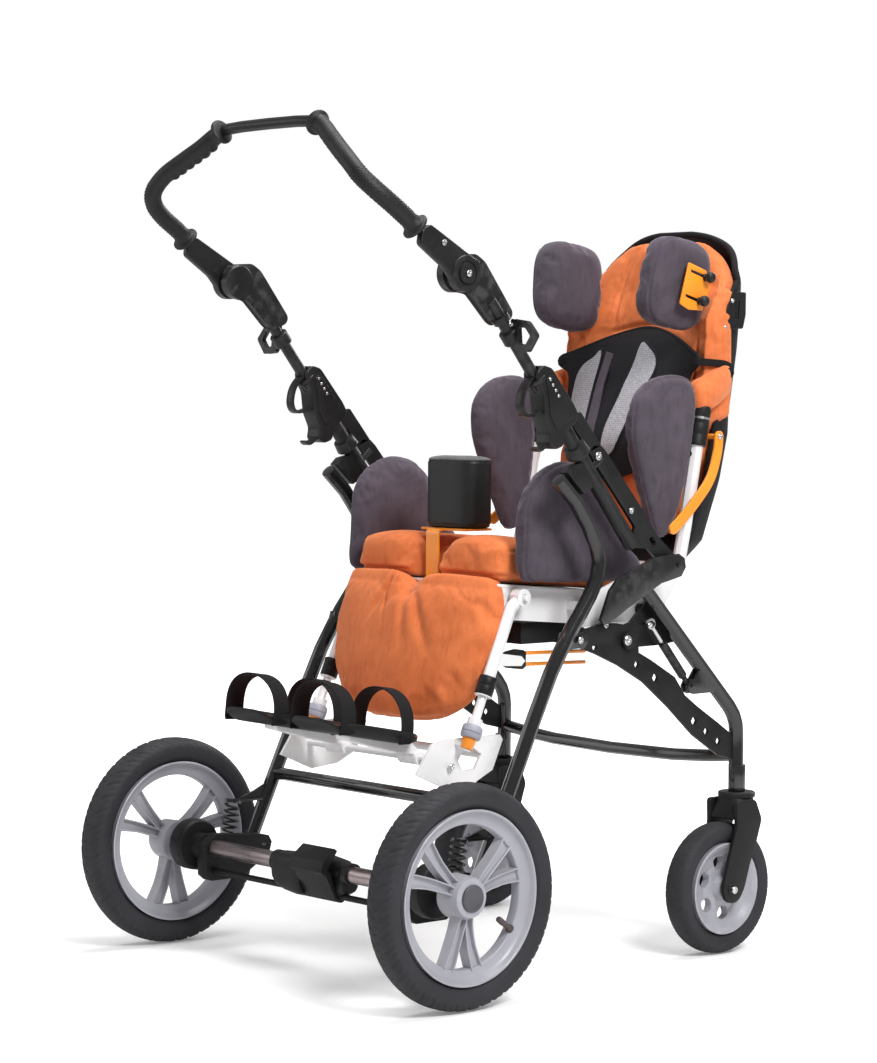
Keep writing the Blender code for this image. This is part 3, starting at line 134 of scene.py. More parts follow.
def applied(obj, *modifiers):
    # each modifier is (type, {setting: value}); the result becomes the mesh
    for kind, settings in modifiers:
        made = obj.modifiers.new(kind.lower(), kind)
        for key, value in settings.items():
            setattr(made, key, value)
    mesh = evaluated(obj)
    obj.modifiers.clear()
    obj.data = mesh
    return obj


def valuesOf(items, what, width=3, kind=np.float32):
    # one property of all the items of a mesh, a row to each
    values = np.empty(len(items) * width, kind)
    items.foreach_get(what, values)
    return values.reshape(-1, width) if width > 1 else values


def pointsOf(obj):
    return valuesOf(obj.data.vertices, "co").astype(float)


def facesOf(mesh):
    return [list(face.vertices) for face in mesh.polygons]


def evaluated(obj):
    return bpy.data.meshes.new_from_object(obj.evaluated_get(bpy.context.evaluated_depsgraph_get()))


def setPoints(obj, points):
    obj.data.vertices.foreach_set("co", np.asarray(points, np.float32).ravel())
    obj.data.update()


def mirrored(points):
    return np.asarray(points, float) * (-1, 1, 1)


def bent(points, ease, steps=8):
    # straight runs joined by parabolic bends, each of which starts and ends `ease` from its corner
    p = np.asarray(points, float)
    into, out = p[1:-1] - p[:-2], p[2:] - p[1:-1]
    reachIn = np.minimum(ease, 0.48 * np.linalg.norm(into, axis=1))[:, None]
    reachOut = np.minimum(ease, 0.48 * np.linalg.norm(out, axis=1))[:, None]
    a, b = p[1:-1] - unit(into) * reachIn, p[1:-1] + unit(out) * reachOut
    t = np.linspace(0, 1, steps + 1)[None, :, None]
    curve = a[:, None] * (1 - t) ** 2 + 2 * p[1:-1, None] * t * (1 - t) + b[:, None] * t ** 2
    return np.vstack([p[:1], curve.reshape(-1, p.shape[1]), p[-1:]])


def flowing(points, count):
    # a Catmull-Rom curve through the points, count samples to each gap
    p = np.asarray(points, float)
    p = np.vstack([2 * p[0] - p[1], p, 2 * p[-1] - p[-2]])
    t = np.linspace(0, 1, count, endpoint=False)[None, :, None]
    a, b, c, d = (p[i:len(p) - 3 + i, None] for i in range(4))
    curve = 0.5 * (2 * b + (c - a) * t + (2 * a - 5 * b + 4 * c - d) * t ** 2 + (3 * b - a - 3 * c + d) * t ** 3)
    return np.vstack([curve.reshape(-1, p.shape[1]), p[-2:-1]])


def lengthAlong(path):
    return np.concatenate([[0], np.cumsum(np.linalg.norm(np.diff(path, axis=0), axis=1))])


def evenly(path, spacing):
    # the same path with its points an even distance apart
    path = np.asarray(path, float)
    run = lengthAlong(path)
    wanted = np.linspace(0, run[-1], max(2, int(round(run[-1] / spacing)) + 1))
    return np.stack([np.interp(wanted, run, path[:, k]) for k in range(3)], 1)


def frameAlong(path, across):
    # tangent, side and up at each point of a path; side stays square to `across`
    tangent = unit(np.gradient(np.asarray(path, float), axis=0))
    side = unit(np.cross(tangent, np.asarray(across, float)))
    return tangent, side, np.cross(side, tangent)


def swept(path, section, across=(1, 0, 0), closed=False):
    # the section's (side, up) points carried along the path; it may be another at each step
    path = np.asarray(path, float)
    section = np.asarray(section, float)
    if section.ndim == 2:
        section = np.broadcast_to(section, (len(path),) + section.shape)
    _, side, up = frameAlong(path, across)
    points = path[:, None] + section[..., :1] * side[:, None] + section[..., 1:] * up[:, None]
    return points.reshape(-1, 3), tubeFaces(*points.shape[:2], closed)


def signedPower(value, power):
    return np.sign(value) * abs(value) ** power


def ring(radius, count=20, power=1.0):
    angle = 2 * math.pi * np.arange(count) / count
    return radius * signedPower(np.stack([np.cos(angle), np.sin(angle)], 1), power)


def turned(profile, steps, centre, axis, closed=False):
    # a profile of (radius, distance along the axis) turned round the axis through centre
    profile = np.asarray(profile, float)
    axis = unit(axis)
    side = unit(np.cross(axis, (0.31, 0.52, 0.79)))
    angle = 2 * math.pi * np.arange(steps) / steps
    around = np.cos(angle)[:, None] * side + np.sin(angle)[:, None] * np.cross(axis, side)
    points = np.asarray(centre, float) + profile[:, None, :1] * around + profile[:, None, 1:] * axis
    return points.reshape(-1, 3), tubeFaces(len(profile), steps, closed)


def lathe(profile, steps, centre, axis):
    # a turned solid, whose flat ends run in to the axis
    return turned([(0.0001, profile[0][1]), *profile, (0.0001, profile[-1][1])], steps, centre, axis)


def together(parts):
    # several (points, faces) lists as one
    points, faces, start = [], [], 0
    for p, f in parts:
        points.append(np.asarray(p, float).reshape(-1, 3))
        faces += [[i + start for i in face] for face in f]
        start += len(points[-1])
    return np.vstack(points), faces


def flatPlate(name, loops, thickness, bevel, place):
    # closed flat outlines with holes, filled, thickened and eased at the rims; place maps (u, v, w) to the world
    curve = bpy.data.curves.new(name, "CURVE")
    curve.dimensions = "2D"
    curve.fill_mode = "BOTH"
    curve.extrude = thickness / 2 - bevel
    curve.bevel_depth = bevel
    curve.bevel_resolution = 2
    curve.offset = -bevel
    for loop in loops:
        spline = curve.splines.new("POLY")
        spline.points.add(len(loop) - 1)
        spline.points.foreach_set("co", np.column_stack([loop, np.zeros(len(loop)), np.ones(len(loop))]).ravel())
        spline.use_cyclic_u = True
    obj = linked(name, curve)
    mesh = evaluated(obj)
    bpy.data.objects.remove(obj)
    points, faces = place(valuesOf(mesh.vertices, "co").astype(float)), facesOf(mesh)
    bpy.data.meshes.remove(mesh)
    return points, faces


def skinned(rings):
    # closed rings of points joined in order, the first and the last capped
    rings = np.asarray(rings, float)
    return rings.reshape(-1, 3), tubeFaces(*rings.shape[:2])


def rounded(corners, ease):
    # a closed outline with its corners eased
    p = np.asarray(corners, float)
    middle = (p[-1] + p[0]) / 2
    return bent(np.vstack([middle, p, middle]), ease, 5)[:-1]


def sidePlate(loops, middle, thick, bevel=0.0008):
    # a plate in the side view, its outlines given as (y, z) and its middle at x = middle
    def stand(p):
        return np.stack([middle + p[:, 2], p[:, 0] + axleY, p[:, 1]], 1)
    return flatPlate("plate", loops, thick, bevel, stand)


def rod(start, end, radius, steps=24, ease=0.0008):
    # a round bar with eased rims
    start, end = np.asarray(start, float), np.asarray(end, float)
    length = np.linalg.norm(end - start)
    profile = [(radius - ease, 0), (radius, ease), (radius, length - ease), (radius - ease, length)]
    return lathe(profile, steps, start, end - start)


def bored(part, hole):
    # one closed part with another taken out of it, as points and faces again
    obj, tool = meshObject("bored", *part), meshObject("hole", *hole)
    applied(obj, ("BOOLEAN", {"object": tool, "operation": "DIFFERENCE", "solver": "EXACT"}))
    result = pointsOf(obj), facesOf(obj.data)
    bpy.data.objects.remove(tool)
    bpy.data.objects.remove(obj)
    return result


def flipped(part, sign):
    # the right-hand part, or its twin on the left where sign is negative
    return (part[0] if sign > 0 else mirrored(part[0])), part[1]


def finishPiece(obj, body, finishes, replaced=(), slot=None):
    # body is None where the piece is attached to no body
    numbers = valuesOf(obj.data.polygons, "material_index", 1, np.int32)
    obj.data.materials.clear()
    for made in finishes if isinstance(finishes, (list, tuple)) else [finishes]:
        obj.data.materials.append(made)
    obj.data.polygons.foreach_set("material_index", numbers)
    if body:
        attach(obj, body)
    if replaced:
        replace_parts(obj, *replaced)
    return obj


def fitted(name, parts, body, made, slot, replaced=(), sign=1):
    # one piece out of several parts, mirrored where sign is negative
    return finishPiece(meshObject(name, *flipped(together(parts), sign)), body, finish[made], replaced, slot)


def zoned(obj, *zones):
    # zones are (material number, mask of the faces' centres and normals)
    centres, normals = (valuesOf(obj.data.polygons, what) for what in ("center", "normal"))
    numbers = np.zeros(len(centres), np.int32)
    for number, mask in zones:
        numbers[mask(centres - (0, axleY, 0), normals)] = number
    obj.data.polygons.foreach_set("material_index", numbers)
    return obj


def evenOutline(points, count):
    # a closed outline resampled at even steps
    loop = np.vstack([points, points[:1]])
    run = lengthAlong(loop)
    wanted = np.linspace(0, run[-1], count, endpoint=False)
    return np.stack([np.interp(wanted, run, loop[:, k]) for k in range(2)], 1)


def oval(halfWide, halfLong, power, count=110):
    # squared oval: x = a sgn(cos)|cos|^p, y = b sgn(sin)|sin|^p
    angle = np.linspace(0, 2 * math.pi, 4000, endpoint=False)
    points = signedPower(np.stack([np.cos(angle), np.sin(angle)], 1), power) * (halfWide, halfLong)
    return evenOutline(points, count)


def freeOutline(points, count=110):
    # a smooth closed curve through given points
    p = np.asarray(points, float)
    around = flowing(np.vstack([p[-2:], p, p[:2]]), 24)
    return evenOutline(around[48:48 + 24 * len(p)], count)


def softForm(outline, thick, rim, relief=None, rings=34):
    # rings shrink to both poles as sin^rim while the height runs as cos^rim; relief moves the flat form
    turn = np.linspace(0.03, math.pi - 0.03, rings)[:, None]
    size = np.sin(turn) ** rim
    height = signedPower(np.cos(turn), rim) * thick / 2
    u, v = size * outline[:, 0], size * outline[:, 1]
    w = np.broadcast_to(height, u.shape).copy()
    if relief:
        u, v, w = relief(u, v, w)
    count = outline.shape[0]
    faces = gridFaces(rings, count, wrapColumns=True).tolist()
    faces += [list(range(count)), list(range((rings - 1) * count, rings * count))[::-1]]
    return np.stack([u, v, w], -1).reshape(-1, 3), faces


def ribbon(points, outward, width, thick):
    # a flat strap with rounded edges along the points, its face to the outward side; gives points, faces and uv
    path = np.asarray(points, float)
    tangent = unit(np.gradient(path, axis=0))
    out = np.broadcast_to(np.asarray(outward, float), path.shape)
    side = unit(np.cross(tangent, out))
    up = unit(np.cross(side, tangent))
    a, b = width / 2, thick / 2
    section = np.array([(-a, 0), (-0.94 * a, b), (-0.4 * a, b), (0.4 * a, b), (0.94 * a, b), (a, 0), (0.94 * a, -b),
                        (0.4 * a, -b),
                        (-0.4 * a, -b), (-0.94 * a, -b)])
    body = path[:, None] + section[None, :, :1] * side[:, None] + section[None, :, 1:] * up[:, None]
    uv = np.stack(np.broadcast_arrays(lengthAlong(path)[:, None], 0.5 + section[None, :, 0] / width), -1)
    return body.reshape(-1, 3), tubeFaces(*body.shape[:2]), uv.reshape(-1, 2)


def strapObject(name, ribbons, body, made, replaced=(), slot=None):
    # several ribbons as one piece with a UV map that runs along each
    points, faces = together([(p, f) for p, f, _ in ribbons])
    uv = np.vstack([u for _, _, u in ribbons])
    obj = meshObject(name, points, faces, flat=50, closed=False)
    layer = obj.data.uv_layers.new(name="UVMap")
    corners = valuesOf(obj.data.loops, "vertex_index", 1, np.int32)
    layer.data.foreach_set("uv", uv[corners].astype(np.float32).ravel())
    return finishPiece(obj, body, made, replaced, slot)


# Shader groups: each gives out colours, masks and heights only


def feed(tree, node, inputs):
    # a socket is linked, anything else is set on the input itself
    for key, value in inputs.items():
        if isinstance(value, bpy.types.NodeSocket):
            tree.links.new(value, node.inputs[key])
        else:
            node.inputs[key].default_value = value
    return node


def add(tree, kind, inputs=None, **settings):
    node = tree.nodes.new("ShaderNode" + kind)
    for key, value in settings.items():
        setattr(node, key, value)
    return feed(tree, node, inputs or {})


def mixColour(tree, factor, first, second):
    return add(tree, "Mix", {0: factor, 6: first, 7: second}, data_type="RGBA").outputs[2]


def ranged(tree, value, low, high, outLow=0.0, outHigh=1.0):
    return add(tree, "MapRange", {0: value, 1: low, 2: high, 3: outLow, 4: outHigh}).outputs[0]


def maths(tree, operation, first, second=0.5):
    return add(tree, "Math", {0: first, 1: second}, operation=operation).outputs[0]


def shaderGroup(name, inputs, outputs):
    tree = bpy.data.node_groups.new(name, "ShaderNodeTree")
    kinds = {"c": "NodeSocketColor", "f": "NodeSocketFloat", "v": "NodeSocketVector"}
    for way, sockets in (("INPUT", inputs), ("OUTPUT", outputs)):
        for label, kind in sockets:
            tree.interface.new_socket(name=label, in_out=way, socket_type=kinds[kind])
    return tree, tree.nodes.new("NodeGroupInput").outputs, tree.nodes.new("NodeGroupOutput")


def noise(tree, vector, scale, detail=3.0, rough=0.55):
    return add(tree, "TexNoise", {"Vector": vector, "Scale": scale, "Detail": detail, "Roughness": rough}).outputs[0]


def hardSurfaceGroup():
    # paint and moulded plastic: cloudy colour, fine grain, paler rubbed edges and a little settled dust
    tree, given, out = shaderGroup(
        "hardSurface",
        [("Vector", "v"), ("Colour", "c"), ("Second", "c"), ("Rubbed", "c"), ("Cloud scale", "f"),
         ("Grain scale", "f"),
         ("Wear", "f"), ("Dust", "f"), ("Smooth", "f"), ("Dull", "f")],
        [("Colour", "c"), ("Roughness", "f"), ("Height", "f")])
    cloud = noise(tree, given["Vector"], given["Cloud scale"])
    fine = noise(tree, given["Vector"], given["Grain scale"], 2.0)
    colour = mixColour(tree, ranged(tree, cloud, 0.3, 0.7), given["Colour"], given["Second"])
    edge = ranged(tree, add(tree, "NewGeometry").outputs["Pointiness"], 0.53, 0.62)
    patchy = ranged(tree, noise(tree, given["Vector"], 55.0, 5.0), 0.45, 0.62)
    worn = maths(tree, "MULTIPLY", maths(tree, "MULTIPLY", edge, patchy), given["Wear"])
    colour = mixColour(tree, worn, colour, given["Rubbed"])
    up = add(tree, "SeparateXYZ", {0: add(tree, "NewGeometry").outputs["Normal"]}).outputs[2]
    settled = maths(tree, "MULTIPLY", ranged(tree, up, 0.5, 1.0), ranged(tree, cloud, 0.35, 0.75))
    settled = maths(tree, "MULTIPLY", settled, given["Dust"])
    colour = mixColour(tree, settled, colour, (0.42, 0.40, 0.38, 1))
    spread = add(tree, "Mix", {0: ranged(tree, cloud, 0.3, 0.7), 2: given["Smooth"], 3: given["Dull"]}).outputs[0]
    rough = maths(tree, "ADD", spread, maths(tree, "MULTIPLY", settled, 0.5))
    feed(tree, out, {"Colour": colour, "Roughness": rough, "Height": fine})
    return tree


def velourGroup():
    # short pile: broad patches where it lies another way, painted lighter as a sheen, and brushed streaks and the
    # speckle of fibre ends, painted darker as shade in the pile
    tree, given, out = shaderGroup(
        "velourPile", [("Vector", "v"), ("Colour", "c"), ("Painted sheen pile", "c"), ("Painted shade pile", "c"), ("Patch scale", "f")],
        [("Colour", "c"), ("Height", "f"), ("Roughness", "f")])
    warp = add(tree, "TexNoise", {"Vector": given["Vector"], "Scale": 6.0}).outputs["Color"]
    bentVector = add(tree, "VectorMath", {0: given["Vector"], 1: warp}, operation="ADD").outputs[0]
    patch = noise(tree, bentVector, given["Patch scale"], 4.0, 0.6)
    streaks = add(tree, "Mapping", {"Vector": given["Vector"], "Scale": (1.0, 1.0, 0.22)}, vector_type="POINT")
    brushed = noise(tree, streaks.outputs[0], 140.0, 3.0)
    fibres = noise(tree, given["Vector"], 1500.0, 1.0)
    # the lighter pile colour is a painted sheen and the darker one is painted shade
    colour = mixColour(tree, ranged(tree, patch, 0.35, 0.68), given["Colour"], given["Painted sheen pile"])
    colour = mixColour(tree, ranged(tree, brushed, 0.5, 0.75, 0.0, 0.4), colour, given["Painted shade pile"])
    colour = mixColour(tree, ranged(tree, fibres, 0.42, 0.7, 0.0, 0.3), colour, given["Painted shade pile"])
    height = maths(tree, "ADD", maths(tree, "MULTIPLY", brushed, 0.7), maths(tree, "MULTIPLY", fibres, 0.5))
    feed(tree, out, {"Colour": colour, "Height": height, "Roughness": ranged(tree, patch, 0.3, 0.7, 0.82, 0.98)})
    return tree


def webbingGroup():
    # flat woven strap read on its own UV map: ribs across, a herringbone along and darker selvedges; its colour
    # follows the weave's height, a painted highlight on raised threads and painted shade in the dips
    tree, given, out = shaderGroup(
        "webbing", [("Vector", "v"), ("Colour", "c"), ("Painted thread highlight", "c"), ("Ribs", "f"), ("Wales", "f")],
        [("Colour", "c"), ("Height", "f")])
    parts = add(tree, "SeparateXYZ", {0: given["Vector"]}).outputs
    acrossStrap = maths(tree, "MULTIPLY", parts[1], given["Wales"])
    alongStrap = maths(tree, "MULTIPLY", parts[0], given["Ribs"])
    rib = maths(tree, "PINGPONG", maths(tree, "ADD", alongStrap, maths(tree, "PINGPONG", acrossStrap, 1.0)), 0.5)
    wale = maths(tree, "PINGPONG", acrossStrap, 0.5)
    height = maths(tree, "MULTIPLY", rib, maths(tree, "ADD", wale, 0.4))
    speckle = noise(tree, given["Vector"], 90.0, 3.0)
    # raised threads painted lighter and dips darker: painted highlight and shade of the weave
    tone = maths(tree, "MULTIPLY", ranged(tree, height, 0.05, 0.4), ranged(tree, speckle, 0.3, 0.7, 0.6, 1.0))
    feed(tree, out, {"Colour": mixColour(tree, tone, given["Colour"], given["Painted thread highlight"]), "Height": height})
    return tree


def brushedGroup():
    # metal: fine lines along the piece (the Vector is already stretched), faint stains
    tree, given, out = shaderGroup(
        "brushedMetal", [("Vector", "v"), ("Lines", "v"), ("Colour", "c"), ("Stain", "c"), ("Smooth", "f"),
                         ("Dull", "f")],
        [("Colour", "c"), ("Roughness", "f"), ("Height", "f")])
    lines = noise(tree, given["Lines"], 60.0, 4.0)
    stain = noise(tree, given["Vector"], 24.0, 4.0)
    colour = mixColour(tree, ranged(tree, stain, 0.45, 0.75, 0.0, 0.6), given["Colour"], given["Stain"])
    spread = add(tree, "Mix", {0: ranged(tree, lines, 0.3, 0.7), 2: given["Smooth"], 3: given["Dull"]}).outputs[0]
    feed(tree, out, {"Colour": colour, "Roughness": spread, "Height": lines})
    return tree


groups = {"hard": hardSurfaceGroup(), "velour": velourGroup(), "webbing": webbingGroup(), "brushed": brushedGroup()}


def place(tree, group, inputs):
    node = add(tree, "Group", node_tree=groups[group])
    return feed(tree, node, inputs).outputs


def newMaterial(name):
    made = bpy.data.materials.new(name)
    made.use_nodes = True
    tree = made.node_tree
    return made, tree, tree.nodes["Principled BSDF"]


def bump(tree, shader, height, strength, distance):
    made = add(tree, "Bump", {"Height": height, "Strength": strength, "Distance": distance})
    tree.links.new(made.outputs[0], shader.inputs["Normal"])


def objectCoords(tree):
    return add(tree, "TexCoord").outputs["Object"]


def grey(value):
    return (value, value, value, 1.0)


hardFinishes = {
    # colour, second colour, rubbed edge, cloud and grain per metre, wear, dust, roughness low and high, bump, coat
    "frameBlack": ((0.0060, 0.0056, 0.0060), (0.0085, 0.008, 0.0085), (0.08, 0.075, 0.075),
                   14, 900, 0.35, 0.03, 0.20, 0.30, 0.04, 0.9),
    "plasticBlack": ((0.0070, 0.0070, 0.0075), (0.012, 0.012, 0.0125), (0.06, 0.06, 0.06),
                     22, 1600, 0.12, 0.03, 0.45, 0.52, 0.06, 0.0),
    "handleBlack": ((0.0075, 0.0075, 0.0080), (0.013, 0.013, 0.0135), (0.08, 0.08, 0.08),
                    18, 1300, 0.40, 0.03, 0.32, 0.46, 0.10, 0.1),
    "shellBlack": ((0.010, 0.010, 0.011), (0.017, 0.0165, 0.018), (0.07, 0.07, 0.07),
                   9, 1200, 0.3, 0.03, 0.50, 0.66, 0.20, 0.0),
    "rimGrey": ((0.29, 0.288, 0.325), (0.34, 0.338, 0.375), (0.62, 0.61, 0.63),
                12, 1500, 0.6, 0.05, 0.34, 0.46, 0.06, 0.1),
    "hubDark": ((0.045, 0.045, 0.055), (0.065, 0.065, 0.075), (0.18, 0.18, 0.19),
                30, 1600, 0.5, 0.08, 0.40, 0.55, 0.14, 0.0),
    "whitePaint": ((0.74, 0.73, 0.74), (0.79, 0.785, 0.79), (0.55, 0.54, 0.53),
                   10, 700, 0.5, 0.04, 0.24, 0.36, 0.05, 0.3),
    "orangePaint": ((0.86, 0.25, 0.012), (0.92, 0.30, 0.018), (0.95, 0.52, 0.20),
                    12, 700, 0.4, 0.04, 0.26, 0.38, 0.05, 0.3),
    "lockGrey": ((0.30, 0.30, 0.36), (0.36, 0.36, 0.42), (0.5, 0.5, 0.55),
                 30, 1500, 0.4, 0.05, 0.40, 0.5, 0.1, 0.0),
    "valveRubber": ((0.05, 0.035, 0.035), (0.07, 0.05, 0.05), (0.14, 0.1, 0.1),
                    40, 1500, 0.3, 0.1, 0.5, 0.65, 0.1, 0.0),
}


def hardMaterial(name):
    colour, second, rubbed, cloud, grain, wear, dust, smooth, dull, depth, coat = hardFinishes[name]
    made, tree, shader = newMaterial(name)
    out = place(tree, "hard", {
        "Vector": objectCoords(tree), "Colour": (*colour, 1), "Second": (*second, 1), "Rubbed": (*rubbed, 1),
        "Cloud scale": cloud, "Grain scale": grain, "Wear": wear, "Dust": dust, "Smooth": smooth, "Dull": dull})
    feed(tree, shader, {
        "Base Color": out["Colour"], "Roughness": out["Roughness"], "Coat Weight": coat, "Coat Roughness": 0.08,
        "Specular IOR Level": 0.22 if max(colour) < 0.03 else 0.5})
    bump(tree, shader, out["Height"], depth, 0.0004)
    return made


metalFinishes = {
    # colour, stain, how the lines are stretched, roughness low and high
    "steelBright": ((0.66, 0.66, 0.68), (0.48, 0.47, 0.46), (6, 6, 1), 0.20, 0.34),
    "rodSteel": ((0.58, 0.59, 0.61), (0.44, 0.44, 0.45), (8, 1, 1), 0.18, 0.30),
    "axleMetal": ((0.34, 0.28, 0.28), (0.24, 0.19, 0.19), (0.5, 8, 8), 0.24, 0.40),
    "boltSteel": ((0.62, 0.62, 0.63), (0.40, 0.40, 0.40), (5, 5, 5), 0.22, 0.36),
    "springSteel": ((0.10, 0.095, 0.095), (0.05, 0.045, 0.045), (4, 4, 4), 0.30, 0.45),
}


def metalMaterial(name):
    colour, stain, stretch, smooth, dull = metalFinishes[name]
    made, tree, shader = newMaterial(name)
    coords = objectCoords(tree)
    lines = add(tree, "Mapping", {"Vector": coords, "Scale": stretch}).outputs[0]
    out = place(tree, "brushed", {"Vector": coords, "Lines": lines, "Colour": (*colour, 1), "Stain": (*stain, 1),
                                  "Smooth": smooth, "Dull": dull})
    feed(tree, shader, {"Base Color": out["Colour"], "Roughness": out["Roughness"], "Metallic": 1.0})
    bump(tree, shader, out["Height"], 0.08, 0.0002)
    return made


velourFinishes = {
    # colour, painted sheen of the pile that catches the light, painted shade of the pile in shadow, patches per
    # metre, sheen tint
    "velourOrange": ((0.60, 0.150, 0.045), (0.74, 0.205, 0.070), (0.42, 0.090, 0.024), 7.0, (1.0, 0.62, 0.42)),
    "velourCharcoal": ((0.062, 0.050, 0.064), (0.088, 0.072, 0.092), (0.034, 0.026, 0.034), 8.0, (0.75, 0.68, 0.80)),
    "velourPommel": ((0.085, 0.085, 0.088), (0.12, 0.12, 0.125), (0.05, 0.05, 0.052), 20.0, (0.9, 0.9, 0.9)),
}


def velourMaterial(name):
    # the second and third colours are the pile's painted sheen and painted shade
    colour, pileSheen, deep, patch, sheen = velourFinishes[name]
    made, tree, shader = newMaterial(name)
    out = place(tree, "velour", {"Vector": objectCoords(tree), "Colour": (*colour, 1), "Painted sheen pile": (*pileSheen, 1),
                                 "Painted shade pile": (*deep, 1), "Patch scale": patch})
    feed(tree, shader, {
        "Base Color": out["Colour"], "Roughness": out["Roughness"], "Sheen Weight": 0.35, "Sheen Roughness": 0.4,
        "Sheen Tint": (*sheen, 1), "Specular IOR Level": 0.2})
    bump(tree, shader, out["Height"], 0.35, 0.0007)
    return made


webbingFinishes = {
    # colour, raised thread painted lighter as a highlight, ribs and wales to one unit of the UV map
    "webbingBlack": ((0.007, 0.007, 0.008), (0.022, 0.022, 0.024), 400, 8),
    "bindingBlack": ((0.012, 0.012, 0.013), (0.035, 0.035, 0.037), 500, 3),
}


def webbingMaterial(name):
    # the second colour is a painted highlight on the raised threads
    colour, threadHighlight, ribs, wales = webbingFinishes[name]
    made, tree, shader = newMaterial(name)
    uv = add(tree, "TexCoord").outputs["UV"]
    out = place(tree, "webbing", {"Vector": uv, "Colour": (*colour, 1), "Painted thread highlight": (*threadHighlight, 1), "Ribs": ribs,
                                  "Wales": wales})
    feed(tree, shader, {"Base Color": out["Colour"], "Roughness": 0.82, "Specular IOR Level": 0.15})
    bump(tree, shader, out["Height"], 0.6, 0.0006)
    return made


def meshClothMaterial(name, base, hole, scale, sheen):
    # spacer mesh: rows of small round openings, staggered, in knitted cloth, the openings painted dark as the shade
    # inside them
    made, tree, shader = newMaterial(name)
    coords = add(tree, "Mapping", {"Vector": objectCoords(tree), "Rotation": (0, 0, 0.02)}).outputs[0]
    parts = add(tree, "SeparateXYZ", {0: coords}).outputs
    flat = add(tree, "CombineXYZ", {0: parts[0], 1: parts[2]}).outputs[0]
    cells = add(tree, "TexVoronoi", {"Vector": flat, "Scale": scale, "Randomness": 0.25}).outputs["Distance"]
    # the openings are filled with the hole colour, painted shade inside the mesh
    holeShade = ranged(tree, cells, 0.16, 0.34)
    knit = noise(tree, coords, 420.0, 4.0)
    cloth = mixColour(tree, ranged(tree, knit, 0.35, 0.7), (*base, 1), tuple(c * 1.5 for c in base) + (1,))
    feed(tree, shader, {"Base Color": mixColour(tree, holeShade, (*hole, 1), cloth), "Roughness": 0.75,
                        "Sheen Weight": sheen, "Specular IOR Level": 0.15})
    bump(tree, shader, maths(tree, "ADD", holeShade, maths(tree, "MULTIPLY", knit, 0.4)), 0.5, 0.0008)
    return made


def rubberMaterial(name, base, second, roughness, grain):
    # tyre and grip rubber: matt, slightly bloomed, with a fine moulded grain
    made, tree, shader = newMaterial(name)
    coords = objectCoords(tree)
    out = place(tree, "hard", {
        "Vector": coords, "Colour": (*base, 1), "Second": (*second, 1), "Rubbed": (0.08, 0.075, 0.075, 1),
        "Cloud scale": 16, "Grain scale": grain, "Wear": 0.5, "Dust": 0.05, "Smooth": roughness - 0.08,
                               "Dull": roughness})
    feed(tree, shader, {"Base Color": out["Colour"], "Roughness": out["Roughness"], "Specular IOR Level": 0.28})
    pores = noise(tree, coords, 260.0, 3.0)
    bump(tree, shader, maths(tree, "ADD", out["Height"], pores), 0.25, 0.0005)
    return made


def vinylMaterial(name):
    # coated cloth: shallow leather cells and a soft gloss
    made, tree, shader = newMaterial(name)
    coords = objectCoords(tree)
    cells = add(tree, "TexVoronoi", {"Vector": coords, "Scale": 620.0},
                feature="DISTANCE_TO_EDGE").outputs["Distance"]
    cloud = noise(tree, coords, 20.0)
    colour = mixColour(tree, ranged(tree, cloud, 0.3, 0.7), (0.008, 0.009, 0.009, 1), (0.014, 0.015, 0.015, 1))
    feed(tree, shader, {"Base Color": colour, "Roughness": ranged(tree, cloud, 0.3, 0.7, 0.34, 0.48),
                        "Specular IOR Level": 0.3})
    bump(tree, shader, ranged(tree, cells, 0.0, 0.25), 0.3, 0.0004)
    return made


finish = {}
for table, material in ((hardFinishes, hardMaterial), (metalFinishes, metalMaterial),
                        (velourFinishes, velourMaterial),
                        (webbingFinishes, webbingMaterial)):
    finish.update({name: material(name) for name in table})
finish["tyreRubber"] = rubberMaterial("tyreRubber", (0.019, 0.019, 0.022), (0.029, 0.029, 0.034), 0.72, 1400)
finish["gripRubber"] = rubberMaterial("gripRubber", (0.0085, 0.0085, 0.0090), (0.015, 0.015, 0.016), 0.55, 1800)
# the second colour of each mesh cloth is the painted shade in its openings
finish["vestMesh"] = meshClothMaterial("vestMesh", (0.30, 0.30, 0.325), (0.08, 0.08, 0.09), 330.0, 0.2)
finish["vestBlack"] = meshClothMaterial("vestBlack", (0.011, 0.011, 0.013), (0.006, 0.006, 0.007), 500.0, 0.02)
finish["pommelVinyl"] = vinylMaterial("pommelVinyl")
print("finishes:", len(finish))


# Wheels


def smoothStep(value, low, high):
    t = np.clip((value - low) / (high - low), 0, 1)
    return t * t * (3 - 2 * t)


tyreValues = {
    "rear": {"crown": 0.1523, "bead": 0.1150, "halfWidth": 0.0260, "blocks": 42, "perBlock": 13, "groove": 0.0017},
    "caster": {"crown": 0.0966, "bead": 0.0645, "halfWidth": 0.0214, "blocks": 46, "perBlock": 8, "groove": 0.0007},
}


